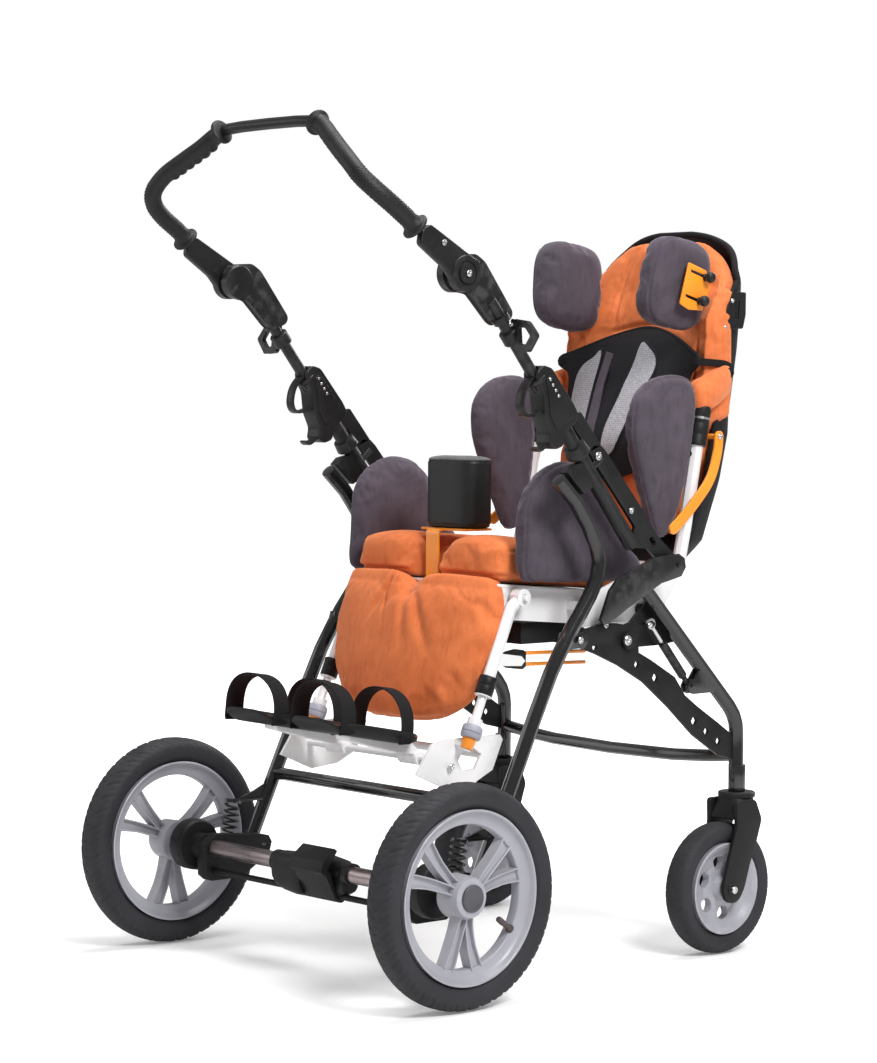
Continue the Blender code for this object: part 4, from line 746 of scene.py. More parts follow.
def tyre(name, kind, centre):
    # section: a squared oval from bead to bead, narrower at the bead; the tread has a zigzag middle groove and
    # slanting grooves that reach the shoulder, each a smooth trough cut towards the axle
    v = tyreValues[kind]
    around = np.linspace(0, 2 * math.pi, v["blocks"] * v["perBlock"], endpoint=False)[:, None]
    section = 2 * math.pi * (np.arange(64) + 0.5)[None, :] / 64
    height = signedPower(np.sin(section), 0.78)
    width = signedPower(np.cos(section), 0.72)
    middle, half = (v["crown"] + v["bead"]) / 2, (v["crown"] - v["bead"]) / 2
    sideways = v["halfWidth"] * width * (1 - 0.30 * ((1 - height) / 2) ** 1.6)
    crown = 1 - 0.10 * np.clip(height, 0, 1) * abs(width) ** 2.2
    radius = middle + half * height * crown
    phase = around * v["blocks"] / (2 * math.pi)
    zigzag = 0.10 * (2 * abs(phase % 1 - 0.5) * 2 - 1)
    centreGroove = 1 - smoothStep(abs(width - zigzag), 0.03, 0.07)
    slant = (phase + 0.9 * abs(width) + 0.5 * (width > 0)) % 1
    sideGroove = (1 - smoothStep(abs(slant - 0.5), 0.05, 0.13)) * smoothStep(abs(width), 0.22, 0.28)
    sideGroove = sideGroove * (1 - smoothStep(abs(width), 0.93, 0.97))
    short = (phase + 0.9 * abs(width) + 0.5 * (width > 0) + 0.5) % 1
    sipe = (1 - smoothStep(abs(short - 0.5), 0.03, 0.08)) * smoothStep(abs(width), 0.55, 0.6)
    sipe = sipe * (1 - smoothStep(abs(width), 0.86, 0.9))
    tread = np.maximum(np.maximum(centreGroove, sideGroove), 0.7 * sipe) * smoothStep(height, 0.25, 0.45)
    radius = radius - v["groove"] * tread
    lines = ((-0.42, 0.05), (-0.10, 0.03), (0.12, 0.02))
    beads = 0.0005 * sum(np.exp(-((height - spot) / wide) ** 2) for spot, wide in lines)
    sideways = sideways + np.sign(width) * beads
    sideways = np.broadcast_to(sideways, radius.shape)
    points = np.stack([centre[0] + sideways, centre[1] + radius * np.cos(around),
                       centre[2] + radius * np.sin(around)], -1)
    return meshObject(name, points, gridFaces(*radius.shape, wrapRows=True, wrapColumns=True), flat=50)


wheelCentre, casterCentre = np.array((0.324, axleY, 0.1525)), np.array((0.2545, axleY + 0.570, 0.0967))
rimValues = {"lip": 0.1190, "inner": 0.0968, "halfWidth": 0.0200, "arms": 3, "turn": 27.0}


def rimRing(centre):
    # closed profile of (radius, sideways): rolled lips, a sloped well and a hidden outer bed
    v = rimValues
    lip, w, inner = v["lip"], v["halfWidth"], v["inner"]
    half = [(lip - 0.0025, w - 0.0012), (lip - 0.0006, w - 0.0002), (lip - 0.0012, w + 0.0008),
            (lip - 0.0032, w + 0.0010),
            (lip - 0.0050, w - 0.0004), (lip - 0.0062, w - 0.0040), (lip - 0.0105, w - 0.0085),
            (inner + 0.0045, w - 0.0108),
            (inner + 0.0010, w - 0.0122), (inner, w - 0.0145)]
    profile = half + [(r, -x) for r, x in half[::-1]]
    return turned(profile, 120, centre, (1, 0, 0), closed=True)


def rimFin(centre, base, lean):
    # an H-shaped fin swept from hub to rim; its twin leans the other way, so that they part like a Y
    radii = np.array([0.0235, 0.042, 0.066, 0.086, 0.0995])
    spread = np.interp(radii, [0.022, 0.060, 0.101], [0.16, 0.20, 0.262])
    half = np.interp(radii, [0.022, 0.060, 0.101], [0.0064, 0.0074, 0.0098])
    angle = base + lean * spread
    dish = np.interp(radii, [0.02, 0.06, 0.10], [0.0025, 0.0, 0.0012])
    line = [centre[0] + dish, centre[1] + radii * np.cos(angle), centre[2] + radii * np.sin(angle)]
    path = flowing(np.stack(line, 1), 6)
    run = np.linspace(0, 1, len(path))
    wide = np.interp(run, np.linspace(0, 1, 5), half)
    deep = np.interp(run, [0, 0.3, 1], [0.0118, 0.0096, 0.0088])
    lip, web = 0.0020, 0.0035
    one = np.ones(len(path))
    inset = wide - lip
    corners = [(-wide, deep), (-inset, deep), (0.0012 - inset, web * one), (inset - 0.0012, web * one), (inset, deep),
               (wide, deep),
               (wide, -deep), (inset, -deep), (inset - 0.0012, -web * one), (0.0012 - inset, -web * one),
               (-inset, -deep), (-wide, -deep)]
    section = np.stack([np.stack([np.broadcast_to(a, one.shape), np.broadcast_to(b, one.shape)], -1) for a,
                        b in corners], 1)
    return swept(path, section, across=(1, 0, 0))


def rearRim(name, sign):
    v = rimValues
    parts = [rimRing(wheelCentre)]
    hub = [(0.0075, 0.0215), (0.0235, 0.0215), (0.0262, 0.0200), (0.0275, 0.0165), (0.0290, 0.0140),
           (0.0300, -0.0150),
           (0.0285, -0.0180), (0.0250, -0.0190), (0.0075, -0.0190)]
    parts.append(turned(hub, 72, wheelCentre, (1, 0, 0), closed=True))
    for arm in range(v["arms"]):
        base = math.radians(v["turn"]) + arm * 2 * math.pi / v["arms"]
        parts += [rimFin(wheelCentre, base, lean) for lean in (-1, 1)]
    obj = meshObject(name, *flipped(together(parts), sign), flat=40)
    return applied(obj, ("BEVEL", {"width": 0.0006, "segments": 2, "limit_method": "ANGLE",
                                   "angle_limit": math.radians(42)}))


def hubCap():
    # dark domed cap with a raised rim and a shallow dished face
    profile = [(0.0002, 0.0242), (0.0100, 0.0246), (0.0140, 0.0252), (0.0158, 0.0256), (0.0172, 0.0252),
               (0.0183, 0.0242), (0.0187, 0.0226), (0.0187, 0.0200)]
    return turned(profile, 64, wheelCentre, (1, 0, 0))


def valveStem():
    # rubber stem from the rim's well towards the hub, with a ribbed cap
    angle = math.radians(-32)
    out = np.array((0.0, math.cos(angle), math.sin(angle)))
    base = wheelCentre + (0.006, 0, 0) + 0.0975 * out
    profile = [(0.0001, -0.0010), (0.0058, -0.0005), (0.0056, 0.0030), (0.0040, 0.0075), (0.0036, 0.0180),
               (0.0041, 0.0185), (0.0043, 0.0205),
               (0.0043, 0.0300), (0.0040, 0.0330), (0.0026, 0.0345), (0.0001, 0.0348)]
    return turned(profile, 24, base, -out + np.array((0.22, 0, 0)))


casterRimValues = {"lip": 0.0668, "holes": 6, "holeTurn": 0.13, "holeWide": 0.30, "holeFrom": 0.0275,
                   "holeTo": 0.0470}


def casterRim(name, sign):
    # polar grid of the disc, radius by angle; it dishes between hub and lip and the ovals are left out of the faces
    v = casterRimValues
    centre = casterCentre * (sign, 1, 1)
    around = 2 * math.pi * np.arange(v["holes"] * 20) / (v["holes"] * 20) + v["holeTurn"]
    # cell runs from 0 to 1 over each spoke and its hole, whose middle is at 0.5
    cell = (around * v["holes"] / (2 * math.pi) - v["holeTurn"] * v["holes"] / (2 * math.pi)) % 1
    across = np.clip(1 - ((cell - 0.5) / v["holeWide"]) ** 2, 0, 1) ** 0.5
    mid, reach = (v["holeFrom"] + v["holeTo"]) / 2, (v["holeTo"] - v["holeFrom"]) / 2
    low, high = mid - reach * across, mid + reach * across
    rows = [np.full_like(around, r) for r in (0.0060, 0.0150, 0.0170, 0.0205)] + [low - 0.0022, low, high,
        high + 0.0022]
    rows += [np.full_like(around, r) for r in (0.0510, 0.0540, 0.0590)]
    radius = np.stack(rows)
    heights = (0.0190, 0.0190, 0.0150, 0.0085, 0.0072, 0.0060, 0.0060, 0.0072, 0.0085, 0.0110, 0.0150)
    front = np.stack([np.full_like(around, h) for h in heights])
    ringCount, steps = radius.shape

    def side(face):
        return np.stack([centre[0] + face * front, centre[1] + radius * np.cos(around),
                         centre[2] + radius * np.sin(around)], -1)

    faces = gridFaces(ringCount, steps, wrapColumns=True)
    inHole = (faces[:, 0] // steps == 5) & (across[faces[:, 0] % steps] > 0) & (across[faces[:, 3] % steps] > 0)
    outer = side(1), [list(f) for f in faces[~inHole]]
    inner = side(-1), [list(f)[::-1] for f in faces[~inHole]]
    count = ringCount * steps

    def wall(row, inwards, everywhere=False):
        # quads through the disc along one ring of the grid, round the holes alone or all the way
        made = []
        for i in range(steps):
            a, b = row * steps + i, row * steps + (i + 1) % steps
            if everywhere or across[i] > 0 or across[(i + 1) % steps] > 0:
                made.append([b, a, count + a, count + b] if inwards else [a, b, count + b, count + a])
        return made

    points, faces = together([outer, inner])
    disc = points, faces + wall(5, False) + wall(6, True) + wall(0, True, everywhere=True)
    half = [(0.0590, 0.0150), (0.0625, 0.0178), (v["lip"] - 0.0012, 0.0192), (v["lip"] + 0.0004, 0.0184),
            (v["lip"], 0.0168)]
    rimBed = turned(half + [(r, -x) for r, x in half[::-1]], steps, centre, (1, 0, 0), closed=True)
    return meshObject(name, *together([disc, rimBed]), flat=38)


for side, sign in sides:
    wheel, caster = "rear_wheel_" + side, "caster_wheel_" + side
    finishPiece(tyre("tyre_" + side, "rear", wheelCentre * (sign, 1, 1)), wheel, finish["tyreRubber"],
                ["rear_tyre_" + side], "tyre")
    finishPiece(rearRim("rim_" + side, sign), wheel, finish["rimGrey"], ["rear_rim_" + side], "grey")
    fitted("hub_cap_" + side, [hubCap()], wheel, "hubDark", "plastic", sign=sign)
    fitted("valve_" + side, [valveStem()], wheel, "valveRubber", "grip", sign=sign)
    finishPiece(tyre("small_tyre_" + side, "caster", casterCentre * (sign, 1, 1)), caster, finish["tyreRubber"],
                ["caster_tyre_" + side], "tyre")
    finishPiece(casterRim("small_rim_" + side, sign), caster, finish["rimGrey"], ["caster_rim_" + side], "grey")
print("wheels done")


# Hard pieces kept from the frame, with their edges eased and their finish put on


refineValues = {"bevel": 0.0005, "edge": 33, "sharp": 38}


def refined(name, made, zones=()):
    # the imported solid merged, its coplanar faces joined and its sharp edges rounded
    mesh = nodes[name].data.copy()
    bm = bmesh.new()
    bm.from_mesh(mesh)
    bmesh.ops.remove_doubles(bm, verts=bm.verts, dist=2e-5)
    bmesh.ops.dissolve_limit(bm, angle_limit=math.radians(0.8), verts=bm.verts, edges=bm.edges)
    bmesh.ops.recalc_face_normals(bm, faces=bm.faces)
    limit = math.radians(refineValues["edge"])
    sharpEdges = [e for e in bm.edges if len(e.link_faces) == 2 and e.calc_face_angle() > limit]
    bmesh.ops.bevel(bm, geom=sharpEdges, offset=refineValues["bevel"], offset_type="OFFSET", segments=2, profile=0.6,
                    affect="EDGES", clamp_overlap=True)
    bmesh.ops.triangulate(bm, faces=[f for f in bm.faces if len(f.verts) > 4])
    bm.to_mesh(mesh)
    bm.free()
    obj = linked("fine_" + name, mesh)
    shade(obj, refineValues["sharp"])
    if zones:
        zoned(obj, *zones)
    finishPiece(obj, nodes[name]["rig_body"], made, [name])


def both(*names):
    return [name + "_" + side for name in names for side, _ in sides]


plainPieces = {
    "frameBlack": both("front_leg", "rear_leg") + ["front_crossbar", "rear_crossbar"],
    "handleBlack": both("handle_tube") + ["push_bar", "gas_strut"],
    "plasticBlack": both("suspension_arm", "arch_plate") + ["brake_pedal", "tilt_frame"],
    "whitePaint": ["seat_pan", "leg_hanger", "leg_extension"],
    "axleMetal": ["axle_tube"],
    "rodSteel": ["strut_rod"],
    "springSteel": both("suspension_spring"),
}
for finishName, names in plainPieces.items():
    for name in names:
        refined(name, finish[finishName])
refined("back_frame", [finish["whitePaint"], finish["plasticBlack"]], zones=[(1, lambda c, n: c[:, 2] > 0.745)])
refined("legrest_strut", [finish["orangePaint"], finish["plasticBlack"]], zones=[(1, lambda c, n: c[:, 1] < 0.2715)])
print("hard pieces done")


# Push handle: latch blocks, angle hubs and grips

handleX = 0.252
handleFoot, handleSlope = at(0.3626, 0.6327, handleX), unit((0.0, -0.631, 0.776))
hubCentre = at(0.0527, 0.9807, handleX)


def along(distance):
    return handleFoot + distance * handleSlope


bandSection = np.array([(-1, -0.8), (-0.6, -1), (0.6, -1), (1, -0.8), (1, 0.8), (0.6, 1), (-0.6, 1), (-1, 0.8)])
blockValues = {"wide": 0.030, "cheek": 0.0335, "ring": (0.0022, 0.0080), "tab": (0.0018, 0.0085)}


def latchBlock():
    # a block that slides on the tube, with raised cheeks, a finger ring, a finger tab and a skirt round the tube
    v = blockValues
    core = rounded([(0.1840, 0.8500), (0.1960, 0.8600), (0.2120, 0.8560), (0.2560, 0.8050), (0.2650, 0.7900),
                    (0.2570, 0.7790),
                    (0.2400, 0.7690), (0.2352, 0.7480), (0.2200, 0.7430), (0.2080, 0.7500), (0.2110, 0.7660),
                    (0.2000, 0.7890),
                    (0.1960, 0.8200), (0.1850, 0.8380)], 0.005)
    cheek = rounded([(0.1990, 0.8400), (0.2080, 0.8480), (0.2150, 0.8410), (0.2480, 0.8000), (0.2520, 0.7880),
                     (0.2330, 0.7780),
                     (0.2200, 0.7700), (0.2080, 0.7910), (0.2040, 0.8230)], 0.005)
    path = flowing([at(y, z, handleX) for y, z in ((0.1900, 0.8440), (0.1790, 0.8380), (0.1690, 0.8240),
                                                   (0.1650, 0.8060), (0.1690, 0.7935),
                                                 (0.1800, 0.7900), (0.2020, 0.7960))], 6)
    tab = flowing([at(y, z, handleX) for y, z in ((0.2200, 0.7640), (0.2110, 0.7520), (0.2030, 0.7440),
                                                  (0.1960, 0.7420), (0.1910, 0.7460))], 5)
    bore = rod(along(0.10), along(0.32), 0.0116)
    parts = [bored(sidePlate([core], handleX, v["wide"], 0.0020), bore),
             bored(sidePlate([cheek], handleX, v["cheek"], 0.0008), bore),
             swept(path, bandSection * v["ring"]), swept(tab, bandSection * v["tab"]),
             lathe([(0.0150, 0), (0.0165, 0.002), (0.0165, 0.006), (0.0150, 0.0075)], 32, along(0.2640), handleSlope),
             lathe([(0.0172, 0), (0.0180, 0.0015), (0.0160, 0.016)], 32, along(0.1330), handleSlope)]
    return meshObject("latch_block", *together(parts))


def rivetsOn(places, radius, rise):
    # small round heads; each place is a point and the way it faces
    profile = [(radius, 0), (radius, 0.35 * rise), (0.72 * radius, rise)]
    return [lathe(profile, 14, spot, facing) for spot, facing in places]


blockRivets = [(0.2068, 0.8404), (0.2120, 0.8325), (0.2177, 0.8251), (0.2230, 0.8178)]


def upperTube():
    # the telescoping tube with its flat arm up to the hub, the inner drum, a clamp and a hook for a bag
    arm = rounded([(0.0450, 1.0040), (0.0800, 1.0060), (0.0957, 0.9965), (0.1470, 0.9310), (0.1440, 0.9230),
                   (0.1221, 0.9140), (0.1130, 0.9180),
                   (0.0740, 0.9560), (0.0450, 0.9600)], 0.005)
    hookOut = rounded([(0.2560, 0.9215), (0.2870, 0.9175), (0.3045, 0.8990), (0.2882, 0.8775), (0.2640, 0.8790),
                       (0.2560, 0.8900)], 0.003)
    hookIn = rounded([(0.2700, 0.9105), (0.2830, 0.9095), (0.2930, 0.8985), (0.2840, 0.8870), (0.2720, 0.8880)],
                     0.002)
    hook = flatPlate("hook", [hookOut, hookIn], 0.0075, 0.0010, lambda p: np.stack([p[:, 0], 0.1470 + axleY + p[:, 2],
        p[:, 1]], 1))
    drum = lathe([(0.0225, 0), (0.0250, 0.0025), (0.0250, 0.0150)], 48, hubCentre - (0.0225, 0, 0), (1, 0, 0))
    clamp = lathe([(0.0125, 0), (0.0138, 0.0015), (0.0138, 0.018), (0.0125, 0.0195)], 32, along(0.333), handleSlope)
    collar = lathe([(0.0125, 0), (0.0125, 0.010)], 32, along(0.368), handleSlope)
    return meshObject("upper_tube", *together([rod(along(0.120), along(0.405), 0.0085),
                                               sidePlate([arm], 0.2457, 0.0150, 0.0022), hook, drum, clamp, collar]))


gripPath = [(0.2545, -0.0254, 1.0364), (0.2525, -0.0458, 1.0526), (0.2515, -0.0712, 1.0695),
            (0.2450, -0.0921, 1.0861), (0.2300, -0.1045, 1.1040),
            (0.2050, -0.1040, 1.1252), (0.1700, -0.0940, 1.1464), (0.1440, -0.0855, 1.1617),
            (0.1220, -0.0795, 1.1760), (0.1030, -0.0775, 1.1850)]
gripValues = {"radius": 0.0122, "scallop": 0.0038, "pitch": 0.0150, "knurl": 0.0007, "heart": (0.120, 0.010, 1.070)}


def rubberGrip():
    # radius = r + scallop |sin(pi s / pitch)| towards the inside on the upper run,
    # + a diamond knurl outside on the lower run, + swollen lips, closed at both ends by a quarter circle
    v = gripValues
    path = evenly(flowing([at(y, z, x) for x, y, z in gripPath], 12), 0.0011)
    run = np.linspace(0, 0.0011 * (len(path) - 1), len(path))[:, None]
    whole = run[-1, 0]
    _, side, up = frameAlong(path, (0.3, 1.0, 0.2))
    turn = 2 * math.pi * np.arange(64)[None, :] / 64
    outward = np.cos(turn)[..., None] * side[:, None] + np.sin(turn)[..., None] * up[:, None]
    inside = unit(at(*v["heart"][1:], v["heart"][0]) - path)
    facing = (outward * inside[:, None]).sum(-1)
    lobe = np.clip(facing, 0, 1) ** 1.3
    upper = smoothStep(run, 0.145, 0.160) * (1 - smoothStep(run, whole - 0.030, whole - 0.020))
    lower = smoothStep(run, 0.020, 0.026) * (1 - smoothStep(run, 0.118, 0.128))
    scallop = v["scallop"] * abs(np.sin(math.pi * run / v["pitch"])) ** 0.8 * lobe * upper
    diamonds = np.clip(np.sin(2 * math.pi * run / 0.0052) * np.sin(16 * turn) * 2, 0, 1)
    knurl = v["knurl"] * diamonds * smoothStep(np.clip(0.25 - facing, 0, 1), 0.1, 0.3) * lower
    lips = 0.0044 * np.exp(-((run - 0.006) / 0.0035) ** 4) + 0.0040 * np.exp(-((run - whole + 0.004) / 0.0032) ** 4)
    lips = lips + 0.0030 * (1 - smoothStep(run, 0.006, 0.020)) + 0.0018 * smoothStep(run, whole - 0.016,
        whole - 0.004)
    ends = [np.sqrt(np.clip(1 - (1 - np.clip(gap / 0.002, 0, 1)) ** 2, 0.2, 1)) for gap in (run, whole - run)]
    radius = (v["radius"] + scallop + knurl + lips) * (ends[0] * ends[1])
    return meshObject("rubber_grip", *skinned(path[:, None] + radius[..., None] * outward), flat=60)


def gripArm():
    # the flat arm from the grip down to the hub, and the hub's stepped outer drum
    arm = rounded([(-0.0100, 1.0440), (0.0560, 1.0085), (0.0790, 0.9980), (0.0780, 0.9680), (0.0400, 0.9600),
                   (0.0154, 0.9880), (-0.0283, 1.0170),
                   (-0.0250, 1.0370)], 0.005)
    drum = lathe([(0.0250, 0), (0.0250, 0.0120), (0.0238, 0.0135), (0.0175, 0.0135), (0.0168, 0.0120),
                  (0.0145, 0.0120),
                   (0.0135, 0.0150)], 48, hubCentre + (0.0010, 0, 0), (1, 0, 0))
    return meshObject("grip_arm", *together([sidePlate([arm], 0.2583, 0.0115, 0.0022), drum]))


def turnedOver(obj, sign):
    # a finished mesh made its own twin on the left where sign is negative
    if sign < 0:
        setPoints(obj, mirrored(pointsOf(obj)))
        obj.data.flip_normals()


for side, sign in sides:
    pieces = [(latchBlock(), "release_" + side, "handleBlack", "release_slider_" + side, "plastic"),
              (upperTube(), "handle_upper", "handleBlack", "height_tube_" + side, "plastic"),
              (rubberGrip(), "handle_bar", "gripRubber", "grip_" + side, "grip")]
    for obj, body, made, node, slot in pieces:
        turnedOver(obj, sign)
        obj.name += "_" + side
        finishPiece(obj, body, finish[made], [node], slot)
    arm = gripArm()
    turnedOver(arm, sign)
    arm.name += "_" + side
    finishPiece(arm, "handle_bar", finish["handleBlack"], (), "plastic")
    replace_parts(arm, "grip_" + side)
    extension = rounded([(0.2960, 0.7385), (0.3200, 0.7480), (0.2790, 0.7960), (0.2700, 0.7925), (0.2610, 0.7800)],
                        0.003)
    fitted("strap_top_" + side, [sidePlate([extension], handleX, 0.0060)], "handle", "handleBlack", "frame",
           sign=sign)
    spots = [(at(y, z, handleX + k * 0.0166), (k, 0, 0)) for y, z in blockRivets for k in (1, -1)]
    fitted("block_rivets_" + side, rivetsOn(spots, 0.0024, 0.0009), "release_" + side, "boltSteel", "steel",
           sign=sign)
print("handle done")


# Caster forks


def forkRing(x, y, halfX, halfY, z, power):
    flat = ring(1.0, 48, power) * (halfX, halfY)
    return np.column_stack([x + flat[:, 0], y + axleY + flat[:, 1], np.full(48, z)])


def casterFork():
    # a round cap, a hood that spreads into two arms, and the arms down to the axle
    arm = rounded([(0.5770, 0.2260), (0.6180, 0.2260), (0.6320, 0.1960), (0.6205, 0.1621), (0.6065, 0.1294),
                   (0.5960, 0.0965), (0.5850, 0.0800),
                   (0.5700, 0.0755), (0.5560, 0.0810), (0.5500, 0.1000), (0.5640, 0.1448), (0.5783, 0.1886)], 0.007)
    x = casterCentre[0]
    hood = skinned([forkRing(x, y, a, b, z, power) for y, a, b, z, power in (
        (0.6075, 0.020, 0.020, 0.2330, 1.0), (0.6075, 0.0245, 0.0245, 0.2325, 1.0),
            (0.6070, 0.0255, 0.0250, 0.2250, 0.9),
        (0.6065, 0.0285, 0.0260, 0.2160, 0.7), (0.6050, 0.0312, 0.0268, 0.2060, 0.5),
            (0.6045, 0.0312, 0.0268, 0.1990, 0.45),
        (0.6045, 0.0290, 0.0250, 0.1975, 0.45))])
    cap = lathe([(0.0262, 0), (0.0275, 0.0015), (0.0275, 0.0070), (0.0258, 0.0085)], 48, at(0.6090, 0.2275, x),
                (0, 0, 1))
    stem = rod(at(0.6090, 0.2360, x), at(0.6090, 0.2610, x), 0.0085)
    arms = [sidePlate([arm], x + k * 0.0275, 0.0075, 0.0016) for k in (1, -1)]
    bosses = [lathe([(0.0110, 0), (0.0100, 0.0018)], 32, at(0.5700, 0.0967, x + k * 0.0310), (k, 0, 0))
              for k in (1, -1)]
    return [hood, cap, stem] + arms + bosses


boltShape = np.array([(0.0001, 0.45), (0.30, 0.45), (0.42, 0.62), (0.50, 1.0), (0.78, 1.0), (0.95, 0.75), (1.0, 0.30),
                      (1.0, 0.0), (0.0001, 0.0)])


def bolt(spot, facing, radius, rise):
    # a domed head with a round socket
    return turned(boltShape[::-1] * (radius, rise), 20, spot, facing)


for side, sign in sides:
    fitted("fork_" + side, casterFork(), "caster_" + side, "plasticBlack", "plastic", ["caster_fork_" + side], sign)
    ends = [bolt(at(0.5700, 0.0967, casterCentre[0] + k * 0.0326), (k, 0, 0), 0.0058, 0.0040) for k in (1, -1)]
    fitted("fork_bolts_" + side, ends, "caster_" + side, "boltSteel", "steel", sign=sign)


# Orange recline links: a curved flat bar pinned at both ends


def barOutline(points, half):
    # the outline of a bar of even width along a curve, its ends round
    path = flowing(points, 8)
    tangent = unit(np.gradient(path, axis=0))
    normal = np.column_stack([-tangent[:, 1], tangent[:, 0]])
    turn = np.linspace(math.pi / 2, -math.pi / 2, 9)[1:-1, None]
    end = path[-1] + half * (np.cos(turn) * tangent[-1] + np.sin(turn) * normal[-1])
    start = path[0] - half * (np.cos(turn) * tangent[0] + np.sin(turn) * normal[0])
    return np.vstack([path + half * normal, end, (path - half * normal)[::-1], start])


linkLine = [(0.6240, 0.7590), (0.6205, 0.7330), (0.6060, 0.6960), (0.5770, 0.6640), (0.5450, 0.6360),
            (0.5290, 0.6240)]
upTheBack = at(0.6088, 0.8030) - at(0.6015, 0.7650)
for side, sign in sides:
    parts = [sidePlate([barOutline(linkLine, 0.0085)], 0.1955, 0.0040, 0.0008),
             rod(at(0.6240, 0.7590, 0.1535), at(0.6240, 0.7590, 0.1940), 0.0040),
             rod(at(0.5760, 0.6630, 0.1854), at(0.5760, 0.6630, 0.1940), 0.0040)]
    link = "back_brace_" + side
    fitted("recline_link_" + side, parts, nodes[link]["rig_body"], "orangePaint", "orange", [link], sign)
    collar = lathe([(0.0130, 0), (0.0142, 0.0012), (0.0142, 0.016), (0.0137, 0.017), (0.0142, 0.018), (0.0142, 0.033),
                    (0.0137, 0.034), (0.0142, 0.035), (0.0142, 0.055), (0.0126, 0.0565)], 36,
                   at(0.5975, 0.7450, 0.175), upTheBack)
    fitted("frame_collar_" + side, [collar], "back", "plasticBlack", "plastic", sign=sign)
    shine = turned([(0.0120, 0), (0.0146, 0), (0.0146, 0.0035), (0.0120, 0.0035)], 36, at(0.6052, 0.7840, 0.175),
                   upTheBack)
    fitted("collar_ring_" + side, [shine], "back", "steelBright", "steel", sign=sign)
    # the black plate on the shell's side, with its two bolts
    plate = rounded([(0.6930, 0.9770), (0.7230, 0.9770), (0.7230, 0.9430), (0.7171, 0.9216), (0.6734, 0.9206),
                     (0.6770, 0.9420)], 0.003)
    slot = rounded([(0.7000, 0.9640), (0.7100, 0.9640), (0.7080, 0.9360), (0.6980, 0.9360)], 0.002)
    fitted("shell_plate_" + side, [sidePlate([plate, slot], 0.1540, 0.0036)], "back", "plasticBlack", "plastic",
           sign=sign)


# Bolts and rivets, one piece to a body: (y, z, x of the face, radius)

boltPlaces = {
    "handle": [(0.3123, 0.7336, 0.2556, 0.0062), (0.3796, 0.6553, 0.2556, 0.0046), (0.4640, 0.5760, 0.2562, 0.0065)],
    "chassis": [(0.2756, 0.4761, 0.2620, 0.0052), (0.3275, 0.4947, 0.2600, 0.0042), (0.3676, 0.4716, 0.2625, 0.0075),
                (0.4160, 0.4907, 0.2600, 0.0046)],
    "handle_upper": [(0.1124, 0.9408, 0.2534, 0.0042), (0.1400, 0.9140, 0.2584, 0.0040)],
    "handle_bar": [(0.0116, 1.0205, 0.2646, 0.0044), (0.0527, 0.9807, 0.2690, 0.0048)],
    "back": [(0.6240, 0.7590, 0.1976, 0.0046), (0.6922, 0.9636, 0.1558, 0.0036), (0.6779, 0.9230, 0.1558, 0.0036)],
    "legrest_slide": [(0.1290, 0.2990, 0.1575, 0.0050)],
}
for body, places in boltPlaces.items():
    heads = [bolt(at(y, z, x), (1, 0, 0), r, 0.55 * r) for y, z, x, r in places]
    fitted("bolts_on_" + body, heads + [flipped(head, -1) for head in heads], body, "boltSteel", "steel")


# Legrest: collars and lock rings on its tubes

legFoot, legDown = at(0.2260, 0.5175, 0.171), unit((0.0, -0.048, -0.114))


def downLeg(distance):
    return legFoot + distance * legDown


for side, sign in sides:
    sleeve = lathe([(0.0122, 0), (0.0129, 0.001), (0.0129, 0.0125), (0.0125, 0.0135), (0.0129, 0.0145),
                    (0.0129, 0.026), (0.0122, 0.027)], 32, downLeg(0.1030), legDown)
    fitted("leg_sleeve_" + side, [sleeve], "legrest", "plasticBlack", "plastic", sign=sign)
    lock = lathe([(0.0120, 0), (0.0142, 0.002), (0.0150, 0.006), (0.0150, 0.010), (0.0136, 0.0105), (0.0150, 0.011),
                  (0.0146, 0.017),
                   (0.0130, 0.019)], 32, downLeg(0.1750), legDown)
    fitted("leg_lock_" + side, [lock], "legrest_slide", "lockGrey", "grey", sign=sign)
    tip = turned([(0.0001, 0), (0.0100, 0), (0.0098, 0.006), (0.0085, 0.016), (0.0060, 0.0175), (0.0001, 0.0178)], 28,
                 downLeg(0.1935), legDown)
    fitted("leg_tip_" + side, [tip], "legrest_slide", "orangePaint", "orange", sign=sign)
print("links, bolts and collars done")


# Brake housing round the axle tube: two humped shells with a groove between them


def housingRing(x, middle, halfY, halfZ, z, power):
    flat = ring(1.0, 56, power) * (halfY, halfZ)
    return np.column_stack([np.full(56, x), middle + axleY + flat[:, 0], z + flat[:, 1]])


leftShell = [(-0.0600, 0, 0.0150, 0.0180, 0.1450, 0.8), (-0.0590, 0, 0.0185, 0.0220, 0.1450, 0.75),
             (-0.0540, 0, 0.0200, 0.0245, 0.1440, 0.7),
             (-0.0350, 0, 0.0215, 0.0275, 0.1420, 0.62), (-0.0100, 0, 0.0225, 0.0290, 0.1410, 0.6),
             (0.0020, 0, 0.0225, 0.0295, 0.1415, 0.6),
             (0.0060, 0, 0.0210, 0.0275, 0.1420, 0.62), (0.0075, 0, 0.0180, 0.0240, 0.1420, 0.65)]
rightShell = [(0.0060, 0.007, 0.0145, 0.0250, 0.1430, 0.6), (0.0075, 0.007, 0.0165, 0.0275, 0.1430, 0.55),
              (0.0400, 0.007, 0.0165, 0.0285, 0.1435, 0.5),
              (0.0720, 0.006, 0.0165, 0.0255, 0.1430, 0.5), (0.0760, 0.005, 0.0160, 0.0235, 0.1430, 0.55),
              (0.0900, 0.002, 0.0160, 0.0190, 0.1440, 0.7),
              (0.0920, 0.002, 0.0145, 0.0170, 0.1440, 0.75)]
housing = [skinned([housingRing(*row) for row in rows]) for rows in (leftShell, rightShell)]
